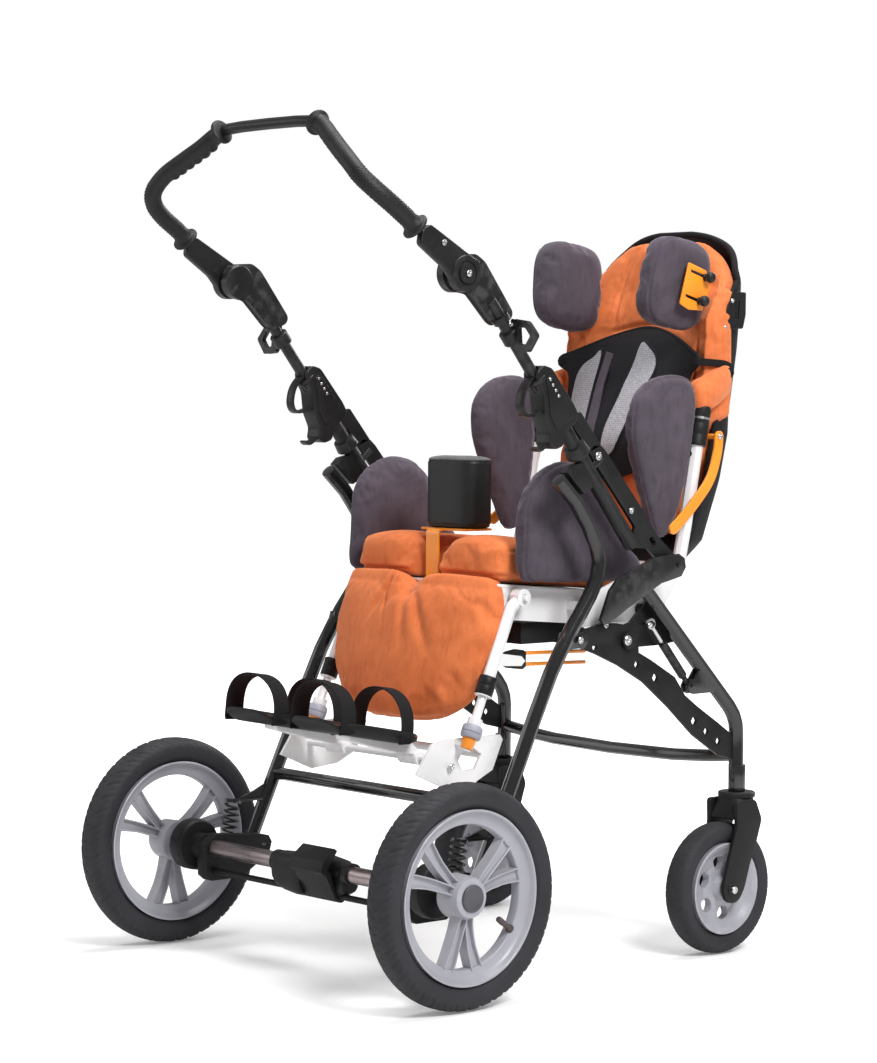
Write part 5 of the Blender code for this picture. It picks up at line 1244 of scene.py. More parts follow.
housing += [lathe([(0.0160, 0), (0.0160, 0.010)], 40, at(0, 0.1525, x), (1, 0, 0)) for x in (-0.0680, 0.0900)]
fitted("brake_shell", housing, "rear_axle", "plasticBlack", "plastic", ["brake_housing"])


# Footrests: a dished sole with a lining, two webbing loops, and its cradle on the cross bar

footValues = {"half": 0.058, "long": 0.085, "thick": 0.0095, "lip": 0.012, "tilt": -10.6,
              "middle": (0.074, 0.022, 0.345)}


def onFoot(u, v, w):
    tilt = math.radians(footValues["tilt"])
    x, y, z = footValues["middle"]
    return np.stack([x + u, y + axleY + v * math.cos(tilt) - w * math.sin(tilt),
                     z + v * math.sin(tilt) + w * math.cos(tilt)], -1)


def soleRelief(u, v, w):
    edge = np.maximum(abs(u) / footValues["half"], abs(v) / footValues["long"])
    return u, v, w + footValues["lip"] * np.clip((edge - 0.72) / 0.28, 0, 1) ** 1.3


def footStraps():
    # each loop rises as height sin(a)^0.7 while it crosses as cos(a), and passes round the sole's edge
    loops = []
    for spot, width, height in ((-0.058, 0.030, 0.060), (0.050, 0.026, 0.066)):
        a = np.linspace(-0.35, math.pi + 0.35, 60)
        u = 0.0535 * np.cos(a) * (1 + 0.06 * np.sin(np.clip(a, 0, math.pi)))
        over = np.sin(a) > 0
        w = 0.004 + height * signedPower(np.sin(a), np.where(over, 0.7, 1.0)) * np.where(over, 1, 0.35)
        path = onFoot(u, spot - 0.010 * np.clip(np.sin(a), 0, 1), w)
        outward = np.stack([np.cos(a), 0.15 * np.ones_like(a), np.sin(a)], -1)
        loops.append((path, outward, width))
    return loops


for side, sign in sides:
    points, faces = softForm(oval(footValues["half"], footValues["long"], 0.45, 120), footValues["thick"], 0.45,
                             soleRelief, 26)
    sole = meshObject("foot_sole_" + side, *flipped((onFoot(*points.T), faces), sign))
    zoned(sole, (1, lambda c, n: (n[:, 2] > 0.80) & (abs(abs(c[:, 0]) - 0.074) < 0.049) & (abs(c[:,
        1] - 0.022) < 0.074)))
    finishPiece(sole, "footrest_" + side, [finish["plasticBlack"], finish["velourOrange"]], ["footplate_" + side],
                "plastic")
    ribbons = [ribbon(path if sign > 0 else mirrored(path), outward if sign > 0 else mirrored(outward), width, 0.0022)
               for path, outward, width in footStraps()]
    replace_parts(strapObject("foot_straps_" + side, ribbons, "footrest_" + side, finish["webbingBlack"]),
                "footplate_" + side)
    cradle = rounded([(0.1150, 0.3110), (0.1280, 0.3120), (0.1040, 0.3340), (0.0400, 0.3430), (-0.0050, 0.3500),
                      (-0.0050, 0.3400),
                      (0.0450, 0.3260), (0.0900, 0.3150)], 0.003)
    parts = [sidePlate([cradle], 0.080, 0.030, 0.0012), rod(at(0.122, 0.306, 0.060), at(0.122, 0.306, 0.100), 0.0100)]
    cradlePiece = fitted("foot_cradle_" + side, parts, "footrest_" + side, "whitePaint", "white", sign=sign)
    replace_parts(cradlePiece, "footplate_" + side)
print("footrests and brake done")


# Soft goods: each is shaped lying flat, blown up a little as cloth between its held seams, then bent into place


clothValues = {"voxel": 0.0045, "frames": 20, "pressure": 4.0, "slack": -0.035}


def inflated(obj, held, cap, voxel):
    # even quads, then cloth held along its seams and blown out; no point may move much further than cap
    applied(obj, ("REMESH", {"mode": "VOXEL", "voxel_size": voxel}))
    start = pointsOf(obj)
    group = obj.vertex_groups.new(name="held")
    group.add(np.flatnonzero(held(*start.T)).tolist(), 1.0, "REPLACE")
    cloth = obj.modifiers.new("cloth", "CLOTH")
    s = cloth.settings
    s.quality = 5
    s.mass = 0.15
    s.tension_stiffness = s.compression_stiffness = 14
    s.shear_stiffness = 7
    s.bending_stiffness = 0.35
    s.use_pressure = True
    s.uniform_pressure_force = clothValues["pressure"]
    s.shrink_min = clothValues["slack"]
    s.vertex_group_mass = "held"
    s.effector_weights.gravity = 0
    scene = bpy.context.scene
    for number in range(1, clothValues["frames"] + 1):
        scene.frame_set(number)
    mesh = evaluated(obj)
    move = valuesOf(mesh.vertices, "co") - start
    bpy.data.meshes.remove(mesh)
    obj.modifiers.clear()
    scene.frame_set(1)
    far = np.linalg.norm(move, axis=1, keepdims=True)
    setPoints(obj, start + move * (cap * np.tanh(far / cap) / np.maximum(far, 1e-9)))
    obj.vertex_groups.clear()
    return applied(obj, ("SUBSURF", {"levels": 1, "render_levels": 1}))


def soft(name, outline, thick, rim, place, relief=None, seams=None, held=None, cap=0.006, voxel=clothValues["voxel"]):
    # seams(u, v, w) gives how deep the surface is drawn in, and place(u, v, w) its spot in the world
    points, faces = softForm(outline, thick, rim, relief)
    obj = meshObject(name, points, faces)
    if held:
        inflated(obj, held, cap, voxel)
    local = pointsOf(obj)
    if seams:
        local = local - valuesOf(obj.data.vertex_normals, "vector") * seams(*local.T)[:, None]
    setPoints(obj, place(*local.T))
    outwards(obj.data)
    shade(obj, 60)
    return obj


def groove(distance, width, depth):
    # a drawn-in line with slightly swollen lips
    lips = np.exp(-((abs(distance) - 2.4 * width) / (1.3 * width)) ** 2)
    return depth * (np.exp(-(distance / width) ** 2) - 0.35 * lips)


def ripples(u, v, w, size, seed):
    # slow unevenness of stuffing: a few crossed sine waves
    a = np.sin(61 * u + 33 * v + 17 * w + seed) + np.sin(47 * v - 71 * w + 2.1 * seed)
    return size * (a + np.sin(83 * w - 39 * u + 0.7 * seed)) / 3


# Seat cushion

seatValues = {"half": 0.1590, "long": 0.1430, "thick": 0.0640, "middle": 0.1365, "rise": 0.0318, "slope": 4.7,
              "notchWide": 0.027, "notchDeep": 0.047, "hump": 0.006, "crease": 0.020}


def onSeat(u, v, w):
    slope = math.radians(seatValues["slope"])
    along, up = v + seatValues["middle"], w + seatValues["rise"]
    return np.stack([u, 0.215 + along * math.cos(slope) + up * math.sin(slope) + axleY,
                     0.5515 - along * math.sin(slope) + up * math.cos(slope)], -1)


def seatCushion():
    values = seatValues

    def relief(u, v, w):
        # a notch for the orange bracket, thigh humps either side of it and a slack front edge
        front = smoothStep(-v, 0.02, 0.13)
        notch = np.exp(-(u / values["notchWide"]) ** 6) * front
        top = smoothStep(w, -0.012, 0.030)
        hump = values["hump"] * (np.sin(math.pi * np.clip(abs(u) / values["half"], 0, 1)) ** 2 - 0.35) * front * top
        rounding = 0.012 * top * front * np.exp(-((abs(u) - 0.030) / 0.022) ** 2)
        inset = 0.010 * top * front * np.exp(-((abs(u) - 0.03) / 0.02) ** 2)
        return u, v + values["notchDeep"] * notch + inset, w + hump - rounding

    def drawn(u, v, w):
        front = smoothStep(-v, 0.10, 0.13)
        crease = groove(w + values["crease"], 0.0022, 0.0022) * front * smoothStep(abs(u), 0.03, 0.04)
        gusset = groove(w - 0.016, 0.0016, 0.0014) * (1 - front) * smoothStep(abs(u), 0.12, 0.15)
        middle = groove(u, 0.0022, 0.0022) * smoothStep(w, 0.0, 0.02) * smoothStep(v, -0.09, -0.08)
        across = groove(v - 0.045, 0.0022, 0.0020) * smoothStep(w, 0.0, 0.02) * (1 - smoothStep(abs(u), 0.13, 0.15))
        return crease + gusset + middle + across + ripples(u, v, w, 0.0007, 1.0)

    def held(u, v, w):
        under = w < -0.024
        seam = (abs(u) < 0.003) & (w > 0.015) & (v > -0.09)
        across = (abs(v - 0.045) < 0.003) & (w > 0.015) & (abs(u) < 0.13)
        crease = (abs(w + values["crease"]) < 0.003) & (v < -0.10)
        notch = (abs(u) < 0.030) & (v < -0.085)
        return under | seam | across | crease | notch

    outline = oval(values["half"] - 0.001, values["long"] - 0.001, 0.16, 150)
    obj = soft("seat_cover", outline, values["thick"] - 0.001, 0.36, onSeat, relief, drawn, held, cap=0.0050)
    finishPiece(obj, "seat", finish["velourOrange"], ["seat_cushion"], "orangecloth")
    return obj


seatCushion()


# Calf pad

calfValues = {"thick": 0.040, "centre": (0.1750, 0.4400), "up": (0.2012, 0.9796), "bendBack": 0.018,
              "seamAt": -0.040}


def onLegrest(u, v, w):
    # up the calf, and forward along its normal; both sides bend back, and the top leans back under the cushion
    y0, z0 = calfValues["centre"]
    upY, upZ = calfValues["up"]
    w = w - calfValues["bendBack"] * (u / 0.165) ** 2 - 0.003 * smoothStep(v, 0.07, 0.11)
    return np.stack([u, y0 + v * upY - w * upZ + axleY, z0 + v * upZ + w * upY], -1)


def calfPad():
    values = calfValues
    rightHalf = [(0.0, -0.0900), (0.055, -0.0880), (0.100, -0.0770), (0.135, -0.0530), (0.156, -0.0180),
                 (0.1670, 0.0180), (0.1690, 0.0500),
                 (0.1640, 0.0890), (0.1560, 0.1120), (0.1460, 0.1235), (0.100, 0.1250), (0.050, 0.1240),
                 (0.022, 0.1180)]
    outline = freeOutline(rightHalf + [(0.0, 0.1060)] + [(-x, y) for x, y in rightHalf[:0:-1]], 160)

    def relief(u, v, w):
        front = smoothStep(w, -0.004, 0.012)
        belly = 0.004 * np.cos(np.clip(u / 0.16, -1, 1) * math.pi / 2)
        belly = belly * np.cos(np.clip((v + 0.01) / 0.11, -1, 1) * math.pi / 2)
        return u, v, w + belly * front

    def drawn(u, v, w):
        front = smoothStep(w, 0.002, 0.010)
        notch = np.exp(-((u - 0.002) / 0.020) ** 2) * smoothStep(v, 0.080, 0.105)
        fold = groove(u - values["seamAt"] + 0.15 * (v - 0.10), 0.0026, 0.0024) * smoothStep(v, 0.02, 0.09) * front
        tuck = groove(u + 0.062 - 0.5 * (v - 0.06), 0.0040, 0.0026) * smoothStep(v, 0.04, 0.08) * front
        below = (1 - smoothStep(v, 0.085, 0.1)) * front
        drape = groove(u - 0.020 - 0.55 * (0.10 - v), 0.0085, 0.0040) * smoothStep(v, -0.01, 0.05) * below
        second = groove(u - 0.006 - 0.12 * (0.10 - v), 0.0060, 0.0028) * smoothStep(v, 0.0, 0.06) * below
        side = groove(w - 0.008, 0.0015, 0.0012) * smoothStep(abs(u), 0.12, 0.15)
        return 0.006 * notch * front + fold + tuck + drape + second + side + ripples(u, v, w, 0.0009, 3.0)

    def held(u, v, w):
        seam = (abs(u - values["seamAt"]) < 0.003) & (v > 0.07)
        return (w < -0.010) | (v > 0.104) | seam | ((abs(u) < 0.01) & (v > 0.085))

    obj = soft("calf_cover", outline, values["thick"] - 0.002, 0.34, onLegrest, relief, drawn, held, cap=0.0045)
    finishPiece(obj, None, finish["velourOrange"], ["calf_pad"], "orangecloth")
    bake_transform(obj)
    return obj


calfPad()
print("seat and calf cushions done")


# Hip, trunk and head pads, given as outlines in the side view round their own middle


def sidePad(name, outline, centre, thick, lean, sign, body, node, rim=0.50, seed=1.0, cap=0.0035, belly=0.004):
    # outline points are (y, z); w points inwards, towards the child; lean turns the pad's face down towards its foot
    cx, cy, cz = centre
    tip = math.radians(lean)

    def stand(u, v, w):
        x = cx - w * math.cos(tip) + v * math.sin(tip)
        z = cz + v * math.cos(tip) + w * math.sin(tip)
        return np.stack([sign * x, cy + u + axleY, z], -1)

    def relief(u, v, w):
        reach = np.clip((u / (0.6 * np.ptp(outline[:, 0]))) ** 2 + (v / (0.6 * np.ptp(outline[:, 1]))) ** 2, 0, 1)
        return u, v, w + belly * (1 - reach) * smoothStep(w, 0, 0.01)

    def drawn(u, v, w):
        edge = groove(w + 0.25 * thick, 0.0014, 0.0013)
        return edge + ripples(u, v, w, 0.0008, seed)

    def held(u, v, w):
        return (w < -0.30 * thick) | (abs(w + 0.25 * thick) < 0.002)

    obj = soft(name, outline, thick - 0.001, rim, stand, relief, drawn, held, cap=cap, voxel=0.0040)
    finishPiece(obj, body, finish["velourCharcoal"], [node], "greycloth")
    return obj


hipOutline = freeOutline([(-0.092, -0.078), (-0.094, -0.020), (-0.088, 0.032), (-0.062, 0.066), (-0.022, 0.083),
                          (0.020, 0.077), (0.052, 0.050),
                          (0.076, 0.010), (0.104, -0.034), (0.136, -0.060), (0.140, -0.084), (0.100, -0.090),
                          (0.020, -0.090), (-0.060, -0.086)])
trunkOutline = freeOutline([(-0.064, 0.036), (-0.061, 0.068), (-0.042, 0.094), (-0.012, 0.110), (0.022, 0.114),
                            (0.052, 0.108), (0.066, 0.086),
                            (0.066, 0.050), (0.060, -0.004), (0.049, -0.056), (0.034, -0.100), (0.016, -0.124),
                            (-0.004, -0.122),
                            (-0.022, -0.086), (-0.044, -0.034), (-0.059, 0.006)])
headOutline = oval(0.0610, 0.0665, 0.58) @ np.array([(0.988, -0.156), (0.156, 0.988)])
for side, sign in sides:
    sidePad("hip_cover_" + side, hipOutline, (0.1835, 0.326, 0.6400), 0.036, 0, sign, "hip_support_" + side,
            "hip_pad_" + side, seed=2.0 + sign)
    sidePad("trunk_cover_" + side, trunkOutline, (0.1675, 0.5250, 0.7350), 0.030, 3, sign, "trunk_support_" + side,
            "lateral_pad_" + side,
            seed=5.0 + sign)
    sidePad("head_cover_" + side, headOutline, (0.1150, 0.6070, 0.9880), 0.046, 5, sign, "head_support_" + side,
            "head_pad_" + side,
            seed=8.0 + sign, rim=0.44)
    threads = ((0.6370, 0.9965), (0.6240, 0.9610))
    posts = [lathe([(0.006, 0), (0.006, 0.0012), (0.0045, 0.0014), (0.0045, 0.0380)], 20,
                    at(y, z, 0.1150), (1, 0, 0)) for y, z in threads]
    posts.append(lathe([(0.0050, 0), (0.0050, 0.052)], 20, at(0.5500, 0.7330, 0.1720), unit((0, 1, 0))))
    hipPost = swept(np.array([at(0.366, 0.5370, 0.2010), at(0.366, 0.5600, 0.2030), at(0.366, 0.5900, 0.2030)]),
                    np.array([(-0.010, -0.0014), (0.010, -0.0014), (0.010, 0.0014), (-0.010, 0.0014)]),
                    across=(1, 0, 0))
    pieces = {"head_support_": posts[:2], "trunk_support_": posts[2:], "hip_support_": [hipPost]}
    for bodyName, parts in pieces.items():
        fitted(bodyName + "post_" + side, parts, bodyName + side, "plasticBlack", "plastic", sign=sign)
    # the slotted orange plate beside the head pad, and the knobs that clamp the pad's two threads in its slots
    slots = [rounded([(0.6060, 1.0085), (0.6065, 1.0040), (0.6360, 0.9955), (0.6370, 1.0005)], 0.0015),
             rounded([(0.5950, 0.9715), (0.5955, 0.9670), (0.6230, 0.9590), (0.6240, 0.9640)], 0.0015)]
    face = rounded([(0.6020, 1.0185), (0.6400, 1.0070), (0.6460, 0.9850), (0.6330, 0.9470), (0.6020, 0.9480),
                    (0.5835, 0.9565)], 0.003)
    parts = [sidePlate([face] + slots, 0.1500, 0.0026, 0.0004)]
    arm = bent([at(0.6380, 0.9780, 0.1490), at(0.6560, 0.9780, 0.1300), at(0.7080, 0.9780, 0.1100),
                at(0.7370, 0.9780, 0.0900)], 0.010)
    parts.append(swept(arm, np.array([(-0.0011, -0.009), (0.0011, -0.009), (0.0011, 0.009), (-0.0011, 0.009)]),
                       across=(0, 0, 1)))
    plate = fitted("head_plate_" + side, parts, "back", "orangePaint", "orange", sign=sign)
    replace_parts(plate, "head_bracket")
    knob = [(0.0001, 0), (0.0058, 0), (0.0058, 0.002), (0.0040, 0.003), (0.0040, 0.0045), (0.0070, 0.0065),
            (0.0084, 0.0105), (0.0076, 0.0145),
            (0.0050, 0.0170), (0.0001, 0.0178)]
    knobs = [turned(knob, 28, at(y, z, 0.1515), (1, 0, 0)) for y, z in threads]
    fitted("head_knobs_" + side, knobs, "back", "pommelVinyl", "plastic", sign=sign)
print("side pads done")


# Backrest: the moulded shell, its cushion and the harness vest

shellEdge = ((0.544, 0.603, 0.693, 0.784, 0.890, 0.966, 1.020, 1.070), (0.606, 0.648, 0.684, 0.706, 0.724, 0.731,
    0.733, 0.724))
frontMiddle = ((0.600, 0.660, 0.744, 0.830, 0.921, 0.980, 1.050), (0.588, 0.594, 0.606, 0.640, 0.680, 0.694, 0.701))
frontWing = ((0.600, 0.660, 0.744, 0.830, 0.935, 0.970, 1.050), (0.585, 0.590, 0.600, 0.632, 0.634, 0.656, 0.694))


def shellHalf(z):
    # widens above the foot, runs straight and closes in an arch at the top
    foot = np.interp(z, (0.544, 0.600, 0.762, 0.790), (0.120, 0.152, 0.152, 0.1470))
    return foot * (1 - np.clip((z - 0.950) / 0.1200, 0, 0.9995) ** 2.8) ** 0.4


def shellBack(x, z):
    # the middle of the shell's wall; its sides turn forward round a tight corner
    half = np.maximum(np.interp(z, (0.544, 0.600, 0.762, 0.790, 0.995, 1.070),
                                (0.120, 0.152, 0.152, 0.147, 0.147, 0.120)), 0.05)
    wrap = np.clip((abs(x) - (half - 0.030)) / 0.030, 0, 1)
    return np.interp(z, *shellEdge) + 0.006 - 0.046 * (1 - np.sqrt(np.maximum(1 - wrap ** 2.6, 0)))


def cushionFront(x, z):
    # the face sinks between its wings
    middle, wing = np.interp(z, *frontMiddle), np.interp(z, *frontWing)
    return middle + (wing - middle) * np.clip(abs(x) / 0.152, 0, 1) ** 2.5


def backShell():
    arch = 0.950 + 0.1196 * np.sin(np.linspace(0.06, math.pi / 2, 22))
    rows = np.concatenate([np.linspace(0.546, 0.950, 44), arch])[:, None]
    p = np.sin(np.linspace(-math.pi / 2, math.pi / 2, 61))[None, :]
    x = p * shellHalf(rows)
    z = np.broadcast_to(rows, x.shape)
    rib = 0.0022 * (np.exp(-((abs(x) - 0.045) / 0.006) ** 2) + np.exp(-(x / 0.006) ** 2))
    rib = rib * smoothStep(z, 0.60, 0.64) * (1 - smoothStep(z, 0.90, 0.94))
    y = shellBack(x, z) + axleY
    front = np.stack([x, y - 0.0025, z], -1).reshape(-1, 3)
    back = np.stack([x, y + 0.0025 + rib, z], -1).reshape(-1, 3)
    grid = gridFaces(*x.shape)
    count, columns = x.size, x.shape[1]
    rim = np.concatenate([np.arange(columns), np.arange(2 * columns - 1, count, columns),
                          np.arange(count - 2, count - columns - 1, -1),
                          np.arange(count - 2 * columns, 0, -columns)])
    after = np.roll(rim, -1)
    wall = np.stack([rim, after, after + count, rim + count], 1)
    faces = grid.tolist() + (grid[:, ::-1] + count).tolist() + wall.tolist()
    return meshObject("moulded_shell", np.vstack([front, back]), faces, flat=50)


finishPiece(backShell(), "back", finish["shellBlack"], ["back_shell"], "plastic")
archZ = np.concatenate([np.linspace(0.56, 0.950, 60), 0.950 + 0.1190 * np.sin(np.linspace(0.04, math.pi / 2, 50))])
archX = shellHalf(archZ)
edgeLine = np.concatenate([np.stack([archX, shellBack(archX, archZ) + axleY, archZ], 1),
                           np.stack([-archX, shellBack(archX, archZ) + axleY, archZ], 1)[::-1]])
binding = swept(evenly(edgeLine, 0.004), ring(0.0048, 10, 0.8), across=(0, 1, 0.2))
fitted("shell_binding", [binding], "back", "vestBlack", "plastic")

backValues = {"half": 0.150, "long": 0.2260, "middle": 0.8310, "thick": 0.060}


def onBack(u, v, w):
    # across, up and through: the cushion fills the space between the shell and its own front line
    p = np.clip(u / backValues["half"], -1.06, 1.06)
    z = backValues["middle"] + v
    wide = np.interp(z, (0.60, 0.765, 0.792, 0.975, 1.000, 1.030, 1.058), (0.134, 0.138, 0.1570, 0.1565, 0.1450,
        0.1290, 0.1080))
    wing = smoothStep(z, 0.768, 0.790) * (1 - smoothStep(z, 0.975, 1.010))
    x = p * wide
    inside = shellBack(x, z) - 0.0065
    back = inside + (0.7125 - inside) * wing * smoothStep(abs(p), 0.955, 0.985)
    front = cushionFront(x, z)
    return np.stack([x, back + (front - back) * (0.5 + w / backValues["thick"]) + axleY, z], -1)


def backCushion():
    values = backValues

    def drawn(u, v, w):
        front = smoothStep(w, 0.006, 0.020)
        z = values["middle"] + v
        panel = groove(abs(u) - 0.075 + 0.10 * np.clip(z - 1.0, 0, 1), 0.0024, 0.0026) * smoothStep(z, 0.925, 0.935)
        crease = groove(z - 0.918 - 0.012 * np.cos(u / 0.05), 0.0030, 0.0030) * (1 - smoothStep(abs(u), 0.070, 0.080))
        bolster = groove(abs(u) - 0.118, 0.0030, 0.0022) * (1 - smoothStep(z, 0.90, 0.92))
        return (panel + crease + bolster) * front + ripples(u, v, w, 0.0010, 4.0)

    def held(u, v, w):
        z = values["middle"] + v
        panel = (abs(abs(u) - 0.075 + 0.10 * np.clip(z - 1.0, 0, 1)) < 0.003) & (z > 0.93) & (w > 0.01)
        crease = (abs(z - 0.918 - 0.012 * np.cos(u / 0.05)) < 0.003) & (abs(u) < 0.074) & (w > 0.01)
        bolster = (abs(abs(u) - 0.118) < 0.003) & (z < 0.91) & (w > 0.01)
        return (w < -0.012) | panel | crease | bolster

    outline = oval(values["half"], values["long"], 0.40, 170)
    obj = soft("back_cover", outline, values["thick"] - 0.001, 0.42, onBack, None, drawn, held, cap=0.0050)
    finishPiece(obj, "back", finish["velourOrange"], ["back_cushion"], "orangecloth")
    return obj


backCushion()

# y, middle x, middle z, half width and half height of the pocket round the head of the white tube
pocketRings = [(0.5905, 0.1705, 0.8175, 0.0030, 0.0060), (0.5915, 0.1705, 0.8175, 0.0080, 0.0125),
               (0.5945, 0.1705, 0.8180, 0.0130, 0.0195),
               (0.6010, 0.1705, 0.8185, 0.0168, 0.0240), (0.6120, 0.1705, 0.8205, 0.0185, 0.0262),
               (0.6260, 0.1695, 0.8250, 0.0180, 0.0272),
               (0.6420, 0.1675, 0.8315, 0.0160, 0.0270), (0.6580, 0.1650, 0.8370, 0.0130, 0.0255),
               (0.6720, 0.1620, 0.8420, 0.0100, 0.0235),
               (0.6830, 0.1590, 0.8440, 0.0065, 0.0180), (0.6880, 0.1570, 0.8450, 0.0030, 0.0100)]


def wingPocket():
    # flattened rings carried rearwards along a smooth line, with a few soft folds across them
    rows = flowing(np.array(pocketRings), 6)
    turn = 2 * math.pi * np.arange(64)[None, :] / 64
    fold = 1 + 0.018 * np.sin(9 * turn + 140 * rows[:, :1]) * np.sin(60 * rows[:, :1] + 2 * turn)
    x = rows[:, 1:2] + rows[:, 3:4] * signedPower(np.cos(turn), 0.8) * fold
    z = rows[:, 2:3] + rows[:, 4:5] * signedPower(np.sin(turn), 0.8) * fold
    return skinned(np.stack([x, np.broadcast_to(rows[:, :1] + axleY, x.shape), z], -1))


pockets = together([wingPocket(), flipped(wingPocket(), -1)])
pocketPiece = finishPiece(meshObject("wing_pockets", *pockets, flat=60), "back", finish["velourOrange"], (),
                          "orangecloth")
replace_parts(pocketPiece, "back_cushion")
print("backrest done")

vestValues = {"middle": 0.8200, "thick": 0.0090, "bulge": 0.021}


def vestGap(x, z):
    # how far the vest stands off the cushion: close at the wings and top, fuller over the chest
    chest = np.interp(z, (0.70, 0.76, 0.84, 0.90, 0.925), (0.6, 1.0, 1.0, 0.55, 0.10))
    return 0.006 + vestValues["bulge"] * np.exp(-(x / 0.085) ** 2) * chest


def onVest(lift):
    def placed(u, v, w):
        z = vestValues["middle"] + v
        return np.stack([u, cushionFront(u, z) - vestGap(u, z) - w - lift + axleY, z], -1)
    return placed


vestHalf = [(0.0, 0.9235), (0.0300, 0.9200), (0.0720, 0.9085), (0.1120, 0.8930), (0.1340, 0.8845), (0.1480, 0.8785),
            (0.1490, 0.8670),
            (0.1310, 0.8540), (0.1250, 0.8250), (0.1160, 0.7990), (0.1010, 0.7700), (0.0830, 0.7350),
            (0.0600, 0.7080), (0.0300, 0.6970)]
vestLoop = vestHalf + [(0.0, 0.6950)] + [(-x, z) for x, z in vestHalf[:0:-1]]
panelLoops = {
    "near": [(0.0074, 0.9017), (0.0321, 0.8926), (0.0521, 0.8766), (0.0576, 0.8555), (0.0482, 0.8203),
             (0.0370, 0.7922), (0.0330, 0.7677),
             (0.0225, 0.7366), (0.0060, 0.7262), (-0.0064, 0.7390), (-0.0068, 0.7742), (0.0043, 0.8201),
             (0.0088, 0.8590)],
    "far": [(-0.0771, 0.8915), (-0.0869, 0.8807), (-0.1053, 0.8663), (-0.1135, 0.8447), (-0.1131, 0.8194),
            (-0.1034, 0.7908), (-0.0830, 0.7700),
            (-0.0661, 0.7567), (-0.0570, 0.7600), (-0.0613, 0.8019), (-0.0648, 0.8447), (-0.0690, 0.8800)],
}
stripLoop = [(-0.0620, 0.8870), (-0.0440, 0.8830), (-0.0290, 0.7480), (-0.0520, 0.7520)]


def vestPiece(name, loop, thick, rim, lift, made, count=150, closedCurve=True):
    middle = np.asarray(loop, float).mean(0)
    outline = (freeOutline if closedCurve else evenOutline)(np.asarray(loop, float) - middle, count)
    lay = onVest(lift)

    def placed(u, v, w):
        return lay(u + middle[0], v + middle[1] - vestValues["middle"], w)

    obj = soft(name, outline, thick, rim, placed, seams=lambda u, v, w: ripples(u, v, w, 0.0003, 6.0))
    return finishPiece(obj, "back", made, (), "mesh")


vest = vestPiece("harness_front", vestLoop, vestValues["thick"], 0.22, 0.0, finish["vestBlack"], 220)
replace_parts(vest, "harness_vest")
for label, loop in panelLoops.items():
    vestPiece("mesh_panel_" + label, loop, 0.0040, 0.20, 0.0040, finish["vestMesh"], 120)
vestPiece("vest_strip", stripLoop, 0.0034, 0.20, 0.0046, finish["velourCharcoal"], 90, closedCurve=False)


def loopOnVest(loop, lift):
    x, z = freeOutline(loop, 160).T
    y = cushionFront(x, z) - vestGap(x, z) - lift + axleY
    return np.stack([x, y, z], 1)


bindings = [swept(loopOnVest(vestLoop, 0.0010), ring(0.0030, 8), across=(0, 1, 0), closed=True)]
bindings += [swept(loopOnVest(loop, 0.0052), ring(0.0019, 8), across=(0, 1, 0),
                   closed=True) for loop in panelLoops.values()]
fitted("vest_binding", bindings, "back", "vestBlack", "mesh")


wingStrap = flowing(np.array([at(0.6230, 0.8730, 0.1400), at(0.6240, 0.8715, 0.1480), at(0.6330, 0.8700, 0.1560),
                              at(0.6500, 0.8690, 0.1590),
                              at(0.6750, 0.8672, 0.1590), at(0.6950, 0.8600, 0.1570), at(0.7020, 0.8550, 0.1480)]), 8)
wingOut = flowing(np.array([(0, -1, 0), (0.3, -1, 0), (0.8, -0.6, 0), (1, 0, 0), (1, 0, 0), (0.8, 0.6, 0),
                            (0.2, 1, 0)], float), 8)
straps = [ribbon(wingStrap, wingOut, 0.0110, 0.0016), ribbon(mirrored(wingStrap), mirrored(wingOut), 0.0110, 0.0016)]
strapObject("vest_straps", straps, "back", finish["webbingBlack"])
print("vest done")


# Pommel on its bracket


def pommelBlock():
    # a squared upright block with tight corners, its top slightly domed
    half = [(0.0, -0.0290), (0.0250, -0.0284), (0.0410, -0.0245), (0.0500, -0.0150), (0.0520, 0.0), (0.0500, 0.0150),
            (0.0410, 0.0245),
            (0.0250, 0.0286)]
    outline = freeOutline(half + [(0.0, 0.0292)] + [(-x, y) for x, y in half[:0:-1]], 120)

    def stand(u, v, w):
        return np.stack([u, 0.2810 + v + axleY, 0.6755 + w], -1)

    def relief(u, v, w):
        return u, v, w + 0.003 * (1 - np.clip((u / 0.05) ** 2 + (v / 0.03) ** 2, 0, 1)) * (w > 0)

    def drawn(u, v, w):
        return groove(w - 0.046, 0.0010, 0.0010) + groove(w + 0.047, 0.0010, 0.0008) + ripples(u, v, w, 0.0004, 7.0)

    obj = soft("pommel_cover", outline, 0.1030, 0.14, stand, relief, drawn)
    zoned(obj, (1, lambda c, n: c[:, 2] > 0.7235))
    finishPiece(obj, "pommel_body", [finish["pommelVinyl"], finish["velourPommel"]], ["pommel"], "leather")
    return obj


pommelBlock()


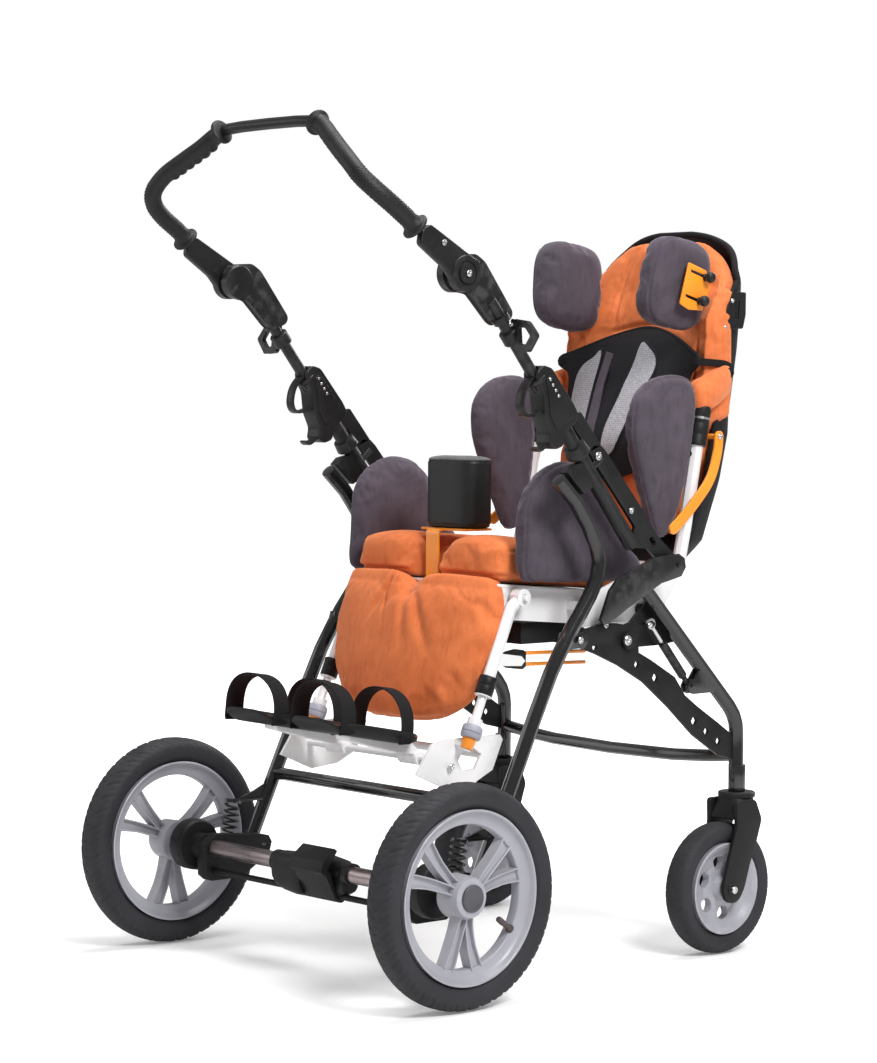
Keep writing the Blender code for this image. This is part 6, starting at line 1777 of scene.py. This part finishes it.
def pommelBracket():
    # an upright strip behind the cushion's notch, turned back into a flange under the block
    path = evenly(bent([at(0.2300, 0.5520), at(0.2300, 0.6222), at(0.3060, 0.6222)], 0.006, 6), 0.002)
    width = np.interp(path[:, 1] - axleY, (0.230, 0.242, 0.250, 0.300, 0.306), (0.0135, 0.0135, 0.049, 0.049, 0.044))
    edge = np.array([(-1.0, -0.5), (-0.97, -1), (0.97, -1), (1.0, -0.5), (1.0, 0.5), (0.97, 1), (-0.97, 1),
                     (-1.0, 0.5)])
    section = edge * np.column_stack([width, np.full(len(path), 0.0016)])[:, None]
    tangent = unit(np.gradient(path, axis=0))
    side = np.broadcast_to((1.0, 0, 0), path.shape)
    up = np.cross(side, tangent)
    points = path[:, None] + section[..., :1] * side[:, None] + section[..., 1:] * up[:, None]
    fitted("pommel_strip", [skinned(points)], nodes["pommel_bracket"]["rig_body"], "orangePaint", "orange",
           ["pommel_bracket"])


pommelBracket()
print("pommel done")


# Floor, light and camera


def studio():
    scene = bpy.context.scene
    scene.view_settings.view_transform = "Standard"
    paper, tree, shader = newMaterial("floorPaper")
    coords = objectCoords(tree)
    colour = mixColour(tree, ranged(tree, noise(tree, coords, 6.0), 0.3, 0.7), grey(0.86), grey(0.88))
    # away from the buggy the paper glows up to white, to the camera alone
    far = add(tree, "VectorMath", {0: coords}, operation="LENGTH").outputs["Value"]
    seen = add(tree, "LightPath").outputs["Is Camera Ray"]
    feed(tree, shader, {
        "Base Color": colour, "Roughness": 0.9, "Specular IOR Level": 0.1, "Emission Color": grey(1.0),
        "Emission Strength": maths(tree, "MULTIPLY", ranged(tree, far, 0.55, 1.9, 0.16, 0.95), seen)})
    corners = [(-14, -14, -0.0004), (14, -14, -0.0004), (14, 14, -0.0004), (-14, 14, -0.0004)]
    floor = meshObject("floor", corners, [[0, 1, 2, 3]], closed=False)
    floor.data.materials.append(paper)
    scene.world = bpy.data.worlds.new("studio")
    scene.world.use_nodes = True
    tree = scene.world.node_tree
    back = feed(tree, tree.nodes["Background"], {"Color": grey(1.0), "Strength": 0.36})
    white = add(tree, "Background", {"Color": grey(1.0), "Strength": 1.0})
    rays = add(tree, "LightPath").outputs
    direct = maths(tree, "MAXIMUM", rays["Is Camera Ray"], rays["Is Transmission Ray"])
    mixer = add(tree, "MixShader", {0: direct, 1: back.outputs[0], 2: white.outputs[0]})
    tree.links.new(mixer.outputs[0], tree.nodes["World Output"].inputs["Surface"])


studioLamps = {
    # place, size, watts
    "key": ((3.0, -0.6, 3.0), 1.3, 140),
    "fill": ((-2.6, -2.4, 1.6), 2.4, 22),
    "top": ((0.1, 0.3, 3.4), 1.8, 70),
    "back": ((-0.8, 3.2, 2.2), 1.6, 35),
}


def lamps():
    for name, (spot, size, watts) in studioLamps.items():
        light = bpy.data.lights.new(name, "AREA")
        light.shape = "DISK"
        light.size = size
        light.energy = watts
        obj = linked(name, light)
        obj.location = spot
        obj.rotation_euler = (Vector((0, 0, 0.5)) - Vector(spot)).to_track_quat("-Z", "Y").to_euler()


cameraValues = {"turn": 48.458, "rise": 2.6495, "roll": 0.4886, "spot": (3.2358, -2.6262, 0.8189), "lens": 100.68}


def photoCamera():
    v = cameraValues
    turn, rise, roll = (math.radians(v[k]) for k in ("turn", "rise", "roll"))
    back = np.array((math.sin(turn) * math.cos(rise), -math.cos(turn) * math.cos(rise), math.sin(rise)))
    right = np.array((math.cos(turn), math.sin(turn), 0.0))
    up = np.cross(back, right)
    # rolled about its own line of sight; the columns are the camera's right, up and back, and where it stands
    axes = [math.cos(roll) * right + math.sin(roll) * up, -math.sin(roll) * right + math.cos(roll) * up, back]
    spot = np.array(v["spot"]) + (0, axleY, 0)
    camera = linked("camera", bpy.data.cameras.new("camera"))
    camera.matrix_world = Matrix(np.vstack([np.column_stack(axes + [spot]), (0, 0, 0, 1)]).tolist())
    camera.data.lens = v["lens"]
    camera.data.sensor_width = 36
    bpy.context.scene.camera = camera


studio()
lamps()
photoCamera()
